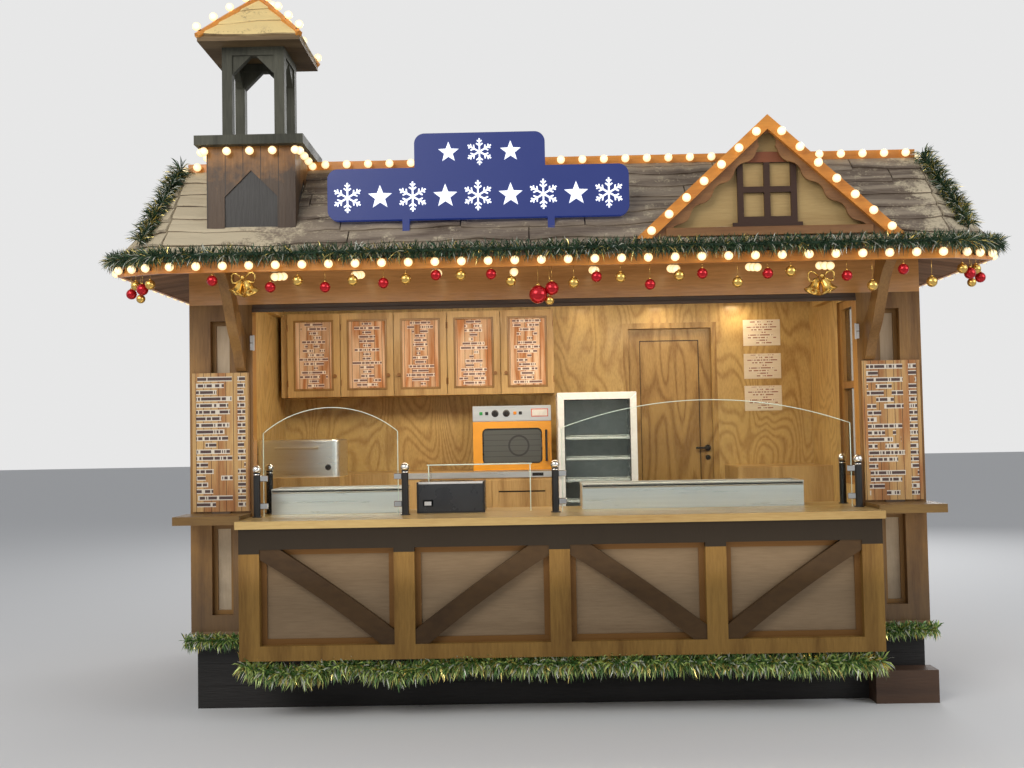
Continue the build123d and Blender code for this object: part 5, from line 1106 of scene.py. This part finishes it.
# Painted shade: the top rail and the upper ends of the posts, under the overhang of the counter top, are
# tinted near black.
proud_parts(counter_varnish, [((-2.0, -1.60, 0.975), (2.0, -1.20, 1.30), (0.026, 0.018, 0.011))])
cream_paint = painted_timber("cream_paint", (0.225, 0.158, 0.094), (0.150, 0.101, 0.058))
proud_parts(cream_paint, [((-1.9, -1.49, 0.42), (1.9, -1.431, 1.02), (0.19, 0.090, 0.025))])
brace_varnish = timber("brace_varnish", (0.066, 0.036, 0.014), (0.030, 0.016, 0.007), (0.16, 1.0, 0.3),
                       coat=0.04)
for varnish, node in ((counter_varnish, "counter_frame"), (cream_paint, "counter_panels"),
                      (brace_varnish, "counter_braces")):
    set_surface(varnish, Specular_IOR_Level=0.14)
    dress(varnish, node)

# Menu boards on the piers: planks with rows of dark dashes on a worn pale ground
# in place of any text. Small metal feet hold them over the side shelves.
menu_x, menu_ink, menu_halo = 2.055, (0.085, 0.050, 0.045), (0.70, 0.63, 0.52)
menu_wood = timber("menu_wood", (0.66, 0.43, 0.175), (0.40, 0.165, 0.055), figure=7.0, rings=26, depth=0.7,
                   boards=((1, 0, 0), 0.046, 0.003),
                   rows=(menu_x, 2 * menu_x, 0.160, 1.225, 2.035, 0.0405, 1.0, menu_ink, menu_halo))
dress(menu_wood, "menu_boards")
menu_feet = Shape()
for x in (-menu_x, menu_x):
    menu_feet.eased_block((x - 0.057, -1.128, 1.1655), (x + 0.057, -1.102, 1.2015), 0.003)
menu_feet.make("menu_board_feet", "hut", "dark_metal", dark_rail)

# The back counter under the oven: a steel edge with a dark slot over two framed
# cupboard fronts, each with a dark iron strip under its top rail as painted shade.
cabinet_varnish = timber("cabinet_varnish", (0.58, 0.390, 0.165), (0.32, 0.185, 0.065), figure=2.2, rings=40,
                         depth=0.5, coat=0.15)
dress(cabinet_varnish, "back_counters")
counter_face, front_head, front_foot, front_wide, stile = 0.6405, 1.294, 0.640, 0.452, 0.048
front_rail, rail_shade_strip, front_kick = 0.085, 0.009, 0.07
fronts = Shape()
fronts.upright_bars([(-1.100, 1.310, 0.020, 1.357)], counter_face - 0.007, counter_face, 0.0015, 1)
fronts.upright_bars([(-0.140, 1.321, -0.055, 1.345)], counter_face - 0.0078, counter_face - 0.006, 0.0005, 2)
for left in (-0.904, -0.448):
    right, under = left + front_wide, front_head - front_rail
    inner_left, inner_right = left + stile, right - stile
    fronts.upright_bars((
        (left, front_foot, inner_left, front_head), (inner_right, front_foot, right, front_head),
        (inner_left, under, inner_right, front_head),
        (inner_left, front_foot, inner_right, front_foot + front_kick)),
        counter_face - 0.009, counter_face, 0.002)
    # Painted shade: a dark iron strip under the top rail.
    fronts.upright_bars([(inner_left, under - rail_shade_strip, inner_right, under)],
                        counter_face - 0.002, counter_face, 0.0005, 2)
fronts.make("back_counter_fronts", "hut", "cabinet_timber", cabinet_varnish, steel, dark_iron)

# The wall cabinet: framed doors with a bead round a panel of planks, a worn
# pattern of dashes on each, and a turned knob. Bead and planks ride on their door.
proud_parts(cabinet_varnish, [((-3.0, 0.80, 1.90), (1.0, 0.8865, 2.70), (0.30, 0.135, 0.038))])
dress(cabinet_varnish, "wall_cabinet", *(f"cabinet_door_{n}" for n in range(1, 6)))
bead_varnish = timber("bead_varnish", (0.34, 0.195, 0.065), (0.17, 0.085, 0.025), coat=0.3)
cabinet_first, cabinet_step = -1.849, 0.422
panel_half, panel_low, panel_high = 0.1485, 2.020, 2.560
plank_step, plank_wide, plank_rest, bead_out, bead_in = 0.0579, 0.0572, 0.004, 0.010, 0.007
leaf_face, pocket_face = 0.8892, 0.8952
plank_print = timber("plank_print", (0.86, 0.64, 0.44), (0.52, 0.215, 0.080), figure=9.0, rings=26,
                     depth=0.75, polish=0.5, boards=((1, 0, 0), 0.0595, 0.003),
                     rows=(cabinet_first, cabinet_step, 0.140, 2.035, 2.545, 0.0345, 0.0,
                           (0.20, 0.115, 0.110), (0.86, 0.76, 0.68)))
for number in range(5):
    middle = cabinet_first + number * cabinet_step
    left, right = middle - panel_half, middle + panel_half
    door_trim = Shape()
    for plank in range(5):
        x = left + plank_rest + plank * plank_step
        door_trim.upright_bars([(x, panel_low + plank_rest, x + plank_wide, panel_high - plank_rest)],
                               pocket_face - 0.0035, pocket_face + 0.0008, 0.0012)
    door_trim.upright_bars((
        (left - bead_out, panel_low - bead_out, left + bead_in, panel_high + bead_out),
        (right - bead_in, panel_low - bead_out, right + bead_out, panel_high + bead_out),
        (left, panel_low - bead_out, right, panel_low + bead_in),
        (left, panel_high - bead_in, right, panel_high + bead_out)),
        leaf_face - 0.005, leaf_face + 0.002, 0.003, 1)
    door_trim.make(f"cabinet_door_{number + 1}_trim", f"cabinet_door_{number + 1}", "cabinet_timber",
                   plank_print, bead_varnish)

# The oven: steel body, black knobs, small switches and a bare plate on its panel,
# and an orange door. A rack and the fan ring show dimly behind the dark pane.
dress(steel, "griddles", "roaster", "oven_body")
black_enamel = enamel("black_enamel", (0.02, 0.02, 0.021), rough=(0.25, 0.4))
oven_x, oven_z, oven_face = -0.289, 1.5525, 0.680
fan_x, fan_radius, fan_wire, rack_pitch, rack_wire = oven_x + 0.05, 0.075, 0.007, 0.021, 0.0016
oven_enamel = enamel("oven_enamel", (0.90, 0.40, 0.03), rough=(0.16, 0.26))
oven_tree = oven_enamel.node_tree
oven_sums = partial(maths, oven_tree)
oven_spot = split(oven_tree, object_place(oven_tree))
oven_pane = use_group(oven_tree, inside_box, Low_Corner=(-0.520, oven_face + 0.0035, 1.415),
                      High_Corner=(-0.058, oven_face + 0.0045, 1.690))["Inside"]
oven_grip = use_group(oven_tree, inside_box, Low_Corner=(-0.060, oven_face - 0.10, 1.40),
                      High_Corner=(0.020, oven_face - 0.001, 1.70))["Inside"]
rack = oven_sums("LESS_THAN", oven_sums("PINGPONG", oven_spot["Z"], rack_pitch), rack_wire)
from_fan = add_node(oven_tree, "ShaderNodeCombineXYZ", X=oven_sums("SUBTRACT", oven_spot["X"], fan_x),
                    Z=oven_sums("SUBTRACT", oven_spot["Z"], oven_z)).outputs[0]
fan_reach = vector_maths(oven_tree, "LENGTH", from_fan)["Value"]
behind = oven_sums("MAXIMUM", rack, oven_sums("COMPARE", fan_reach, fan_radius, fan_wire))
pane_view = blend_colour(oven_tree, behind, colour(0.085, 0.090, 0.080), colour(0.035, 0.034, 0.030))
oven_shown = blend_colour(oven_tree, oven_pane, shown_colour(oven_enamel), pane_view)
oven_shown = blend_colour(oven_tree, oven_grip, oven_shown, colour(0.015, 0.015, 0.016))
set_surface(oven_enamel, Base_Color=oven_shown, Coat_Weight=0.4, Coat_Roughness=0.08)
dress(oven_enamel, "oven_door")
seal_round, seal_x, seal_z = 0.032, 0.193, 0.099
seal_points = []
for sx, sz, start in ((1, 1, 0), (-1, 1, 90), (-1, -1, 180), (1, -1, 270)):
    for step in range(6):
        angle = math.radians(start + 18 * step)
        seal_points.append((oven_x + sx * seal_x + seal_round * math.cos(angle), oven_face - 0.001,
                            oven_z + sz * seal_z + seal_round * math.sin(angle)))
window_seal = Shape()
window_seal.rod(seal_points + seal_points[:1], 0.0045, sides=6)
window_seal.make("oven_window_seal", "oven_door", "black_box", black_enamel, smooth=True)
controls = Shape()
oven_knob = [(0, 0.026), (0.004, 0.027), (0.006, 0.023), (0.020, 0.020), (0.022, 0.017)]
control_back = oven_face + 0.001
for x in (-0.418, -0.331):
    controls.turned((x, oven_face + 0.0005, 1.802), FRONT, oven_knob, sides=24)
    controls.upright_bars([(x - 0.004, 1.783, x + 0.004, 1.821)], oven_face - 0.030, oven_face - 0.018,
                          0.002)
for x, tone in ((-0.526, 1), (-0.482, 0), (-0.265, 2), (-0.223, 0)):
    controls.upright_bars([(x - 0.012, 1.791, x + 0.012, 1.815)], oven_face - 0.006, control_back, 0.002,
                          tone)
controls.upright_bars([(-0.140, 1.773, -0.010, 1.834)], oven_face - 0.0015, control_back, 0.0006, 4)
controls.upright_bars([(-0.134, 1.779, -0.016, 1.828)], oven_face - 0.0022, control_back, 0.0006, 3)
switch_green = enamel("switch_green", (0.03, 0.35, 0.08))
switch_amber = enamel("switch_amber", (0.80, 0.30, 0.02))
plate_red = enamel("plate_red", (0.72, 0.12, 0.08))
controls.make("oven_controls", "hut", "black_box", black_enamel, switch_green, switch_amber, white_enamel,
              plate_red)

# The display fridge: white cabinet with a dark inside and wire shelves. Its
# glazed door is a mitred white frame with a black seal round a clear pane.
fridge_left, fridge_right, fridge_low, fridge_high = 0.053, 0.634, 0.630, 1.935
fridge_face, fridge_back_face, frame_wide = 0.290, 0.324, 0.048
fridge_white = enamel("fridge_white", (0.80, 0.81, 0.80), rough=(0.2, 0.32))
fridge_inside = use_group(fridge_white.node_tree, inside_box, Low_Corner=(0.0875, 0.310, 0.664),
                          High_Corner=(0.5995, 0.756, 1.906))["Inside"]
set_surface(fridge_white, Base_Color=blend_colour(
    fridge_white.node_tree, fridge_inside, shown_colour(fridge_white), colour(0.48, 0.50, 0.49)))
dress(fridge_white, "fridge_body", "fridge_door")
seal_left, seal_right = fridge_left + frame_wide, fridge_right - frame_wide
seal_low, seal_high = fridge_low + frame_wide, fridge_high - frame_wide
outer = [(fridge_left, fridge_low), (fridge_right, fridge_low), (fridge_right, fridge_high),
         (fridge_left, fridge_high)]
inner = [(seal_left, seal_low), (seal_right, seal_low), (seal_right, seal_high), (seal_left, seal_high)]
glazed_door = Shape()
for index in range(4):
    after = (index + 1) % 4
    ring = [Vector(corner) for corner in (outer[index], outer[after], inner[after], inner[index])]
    middle = sum(ring, Vector((0, 0))) / 4
    rings = []
    for y, shrink in ((fridge_back_face, 1.0), (fridge_face + 0.003, 1.0), (fridge_face, 0.985)):
        flat = [middle + (corner - middle) * shrink for corner in ring]
        rings.append([(corner.x, y, corner.y) for corner in flat])
    glazed_door.skin(rings)
glazed_door.upright_bars((
    (seal_left - 0.001, seal_low, seal_left + 0.006, seal_high),
    (seal_right - 0.006, seal_low, seal_right + 0.001, seal_high),
    (seal_left, seal_low - 0.001, seal_right, seal_low + 0.006),
    (seal_left, seal_high - 0.006, seal_right, seal_high + 0.001)),
    fridge_face + 0.006, fridge_back_face - 0.006, 0.001, 1)
for level in (1.145, 1.345):
    glazed_door.upright_bars([(fridge_left + 0.006, level - 0.030, fridge_left + 0.026, level + 0.030)],
                             fridge_face - 0.007, fridge_face + 0.001, 0.002, 2)
for level in (0.8475, 1.7175):
    glazed_door.turned((fridge_left + 0.003, fridge_face - 0.0015, level - 0.025), UP,
                       [(0, 0.003), (0.05, 0.003)], sides=10, tone=2)
glazed_door.make("fridge_glazed_door", "fridge_door", "white_metal", fridge_white, black_enamel, steel)
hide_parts("fridge_door")
fridge_pane = Shape()
fridge_pane.upright_bars([(seal_left + 0.001, seal_low + 0.001, seal_right - 0.001, seal_high - 0.001)],
                         0.304, 0.310, 0.0008)
fridge_pane.make("fridge_pane", "fridge_door", "fridge_glass", pane_glass)
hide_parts("fridge_door")
wire_left, wire_right, wire_front, wire_back, wire_lift = 0.092, 0.596, 0.330, 0.745, 0.022
wire_shelves = Shape()
for level in (0.978, 1.133, 1.288, 1.443, 1.598):
    wire_shelves.upright_bars([(wire_left, level - 0.002, wire_right, level + 0.013)],
                              wire_front - 0.004, wire_front + 0.004, 0.003)
    top = level + wire_lift
    wire_shelves.rod([(wire_left, wire_front, top), (wire_right, wire_front, top)], 0.003)
    for step in range(22):
        x = wire_left + 0.008 + step * 0.0233
        wire = [(x, wire_front, top), (x, wire_front, level + 0.002), (x, wire_back, level + 0.006)]
        wire_shelves.rod(wire, 0.0014, sides=5)
wire_shelves.make("fridge_wire_shelves", "hut", "white_metal", white_enamel)

# Steel griddles: a rim with a rolled top and a dark line round dark iron plates,
# and black knobs on the cook's side.
rim_front, rim_back, rim_top, rim_inset = -0.917, -0.623, 1.318, 0.006
plate_front, plate_back, plate_under, plate_top, plate_gap = -0.902, -0.638, 1.2552, 1.2680, 0.004
griddle_knob = [(0, 0.018), (0.014, 0.017), (0.016, 0.014)]
fittings = Shape()
for left, right, plates in ((0.165, 1.550, 3), (-1.790, -0.950, 2)):
    span = (right - left - 0.040) / plates
    for plate in range(plates):
        first = left + 0.020 + plate * span
        fittings.eased_block((first + plate_gap, plate_front, plate_under),
                             (first + span - plate_gap, plate_back, plate_top), 0.003)
        x = left + 0.10 + plate * (right - left - 0.2) / max(plates - 1, 1)
        fittings.turned((x, -0.6195, 1.225), BACK, griddle_knob, sides=18, tone=2)
    rim_left, rim_right = left + 0.003, right - 0.003
    for start, finish in (((left + rim_inset, rim_front), (right - rim_inset, rim_front)),
                          ((left + rim_inset, rim_back), (right - rim_inset, rim_back)),
                          ((rim_left, rim_front), (rim_left, rim_back)),
                          ((rim_right, rim_front), (rim_right, rim_back))):
        fittings.rod([(*start, rim_top), (*finish, rim_top)], 0.0065, sides=10, tone=1)
    fittings.eased_block((left + 0.004, -0.9215, 1.3035), (right - 0.004, -0.9195, 1.3115), 0.0005)
    fittings.rod([(rim_left, -0.9225, 1.299), (rim_right, -0.9225, 1.299)], 0.0045, tone=1)
plate_iron = worn_metal("plate_iron", (0.055, 0.052, 0.048), metallic=0.7, rough=(0.2, 0.45), scale=8)
fittings.make("griddle_fittings", "hut", "steel", plate_iron, steel, black_enamel)

# The black warming box has a frame whose top edge is a white strip as a painted
# highlight, and a bare plate. Over it stands a glass shelf on two glass ends whose
# ground edges are glowing rods as a painted highlight.
dress(worn_metal("box_sheet", (0.055, 0.057, 0.060), metallic=0.5, rough=(0.16, 0.42), scale=7, relief=0.05),
      "warming_box")
box_left, box_right, box_low, box_high, box_face = -0.862, -0.445, 1.164, 1.357, -1.0405
plate_left, plate_right, plate_low, plate_high = -0.826, -0.762, 1.206, 1.246
box_frame = Shape()
box_frame.upright_bars([(box_left, box_low, box_right, box_low + 0.012)], box_face, box_face + 0.0045, 0.001)
for x in (box_left + 0.004, box_right - 0.004):
    box_frame.upright_bars([(x - 0.006, box_low, x + 0.006, box_high - 0.001)],
                           box_face - 0.001, box_face + 0.0055, 0.001)
box_frame.upright_bars([(plate_left, plate_low, plate_right, plate_high)],
                       box_face + 0.0005, box_face + 0.0045, 0.001)
# Painted highlight: the white strip along the top edge of the frame.
box_frame.upright_bars([(box_left, box_high - 0.014, box_right, box_high)],
                       box_face, box_face + 0.0045, 0.001, 1)
box_frame.upright_bars([(plate_left + 0.009, plate_low + 0.006, plate_right - 0.012, plate_high - 0.010)],
                       box_face - 0.0005, box_face + 0.001, 0.0005, 1)
box_frame.make("warming_box_frame", "hut", "steel", dark_iron, white_enamel)
shelf_left, shelf_right, shelf_under, shelf_top = -0.800, -0.150, 1.4562, 1.4642
shelf_ends = ((-0.790, box_high), (-0.160, 1.166))
shelf_glass = Shape()
shelf_glass.eased_block((shelf_left, -1.020, shelf_under), (shelf_right, -0.820, shelf_top), 0.0015)
for x, foot in shelf_ends:
    shelf_glass.eased_block((x - 0.003, -1.012, foot), (x + 0.003, -0.828, shelf_under), 0.001)
shelf_glass.make("glass_shelf", "hut", "glass", pane_glass)
# Painted highlight: the ground glass edges glow a little, though they are no lamp.
edge_shine = enamel("edge_shine", (0.70, 0.80, 0.66), rough=(0.12, 0.2))
set_surface(edge_shine, Emission_Color=colour(0.80, 0.95, 0.82), Emission_Strength=0.22)
shelf_edges = Shape()
for x, foot in shelf_ends:
    shelf_edges.rod([(x, -1.0135, foot + 0.001), (x, -1.0135, 1.456)], 0.0030, sides=6)
shelf_edges.rod([(shelf_left, -1.0205, 1.460), (shelf_right, -1.0205, 1.460)], 0.0035, sides=6)
shelf_edges.make("glass_shelf_edges", "hut", "glass", edge_shine, smooth=True)

# The lidded roaster on the left counter: a steel bar on its lid, a black knob
# and a small pilot button on its front.
roaster_face, bar_y, bar_z, knob_z = 0.0605, 0.030, 1.570, 1.430
roaster_knob = [(0, 0.022), (0.016, 0.020), (0.018, 0.015)]
pilot = [(0, 0.008), (0.004, 0.008), (0.006, 0.004)]
fittings = Shape()
for x in (-1.960, -1.680):
    fittings.rod([(x, 0.064, bar_z), (x, bar_y, bar_z)], 0.006, tone=1)
fittings.rod([(-1.975, bar_y, bar_z), (-1.665, bar_y, bar_z)], 0.009, sides=10, tone=1)
fittings.turned((-1.600, roaster_face, knob_z), FRONT, roaster_knob, sides=20)
fittings.turned((-2.040, roaster_face, knob_z), FRONT, pilot)
fittings.make("roaster_fittings", "hut", "black_box", black_enamel, steel)

# The guards: bright balls on the black posts, clamps, and arched clear panes
# whose ground edges are glowing rods as a painted highlight.
ball_chrome = worn_metal("ball_chrome", (0.78, 0.77, 0.74), rough=(0.08, 0.18), scale=8)
guard_y, guard_foot, guard_spring, ball_reach, ball_level = -1.150, 1.168, 1.675, 0.0276, 1.455
guard_side, guard_rear = 1.828, -0.800
collar = [(0, 0.0215), (0.004, 0.0222), (0.010, 0.019)]
guard_balls = Shape()
for x, y in ((-guard_side, guard_y), (-guard_side, guard_rear), (-0.923, guard_y), (-0.009, guard_y),
             (guard_side, guard_y), (guard_side, guard_rear)):
    guard_balls.turned((x, y, ball_level - ball_reach), UP, ball_profile(ball_reach, 10), sides=18)
    guard_balls.turned((x, y, ball_level - 0.034), UP, collar, sides=18)
guard_balls.make("guard_balls", "hut", "steel", ball_chrome, smooth=True)
glass_edges, guard_clamps = Shape(), Shape()
for left, right, peak in ((-1.786, -0.965, 1.826), (0.033, 1.786, 1.831)):
    for x, side in ((left, -1), (right, 1)):
        near, far = sorted((x - side * 0.026, x + side * 0.022))
        guard_clamps.upright_bars([(near, level - 0.018, far, level + 0.018) for level in (1.232, 1.400)],
                                  guard_y - 0.010, guard_y + 0.010, 0.003)
    half, rise = (right - left) / 2, peak - guard_spring
    radius = (half * half + rise * rise) / (2 * rise)
    swing = math.atan2(half, radius - rise)
    arch = [((left + right) / 2 + radius * math.sin(swing * step / 20), guard_y,
             peak - radius + radius * math.cos(swing * step / 20)) for step in range(-20, 21)]
    # Painted highlight: glowing rods along the ground edges of the panes.
    glass_edges.rod([(left, guard_y, guard_foot)] + arch + [(right, guard_y, guard_foot)], 0.0024, sides=6)
glass_edges.make("guard_glass_edges", "hut", "glass", edge_shine, smooth=True)
guard_clamps.make("guard_clamps", "hut", "steel", ball_chrome)
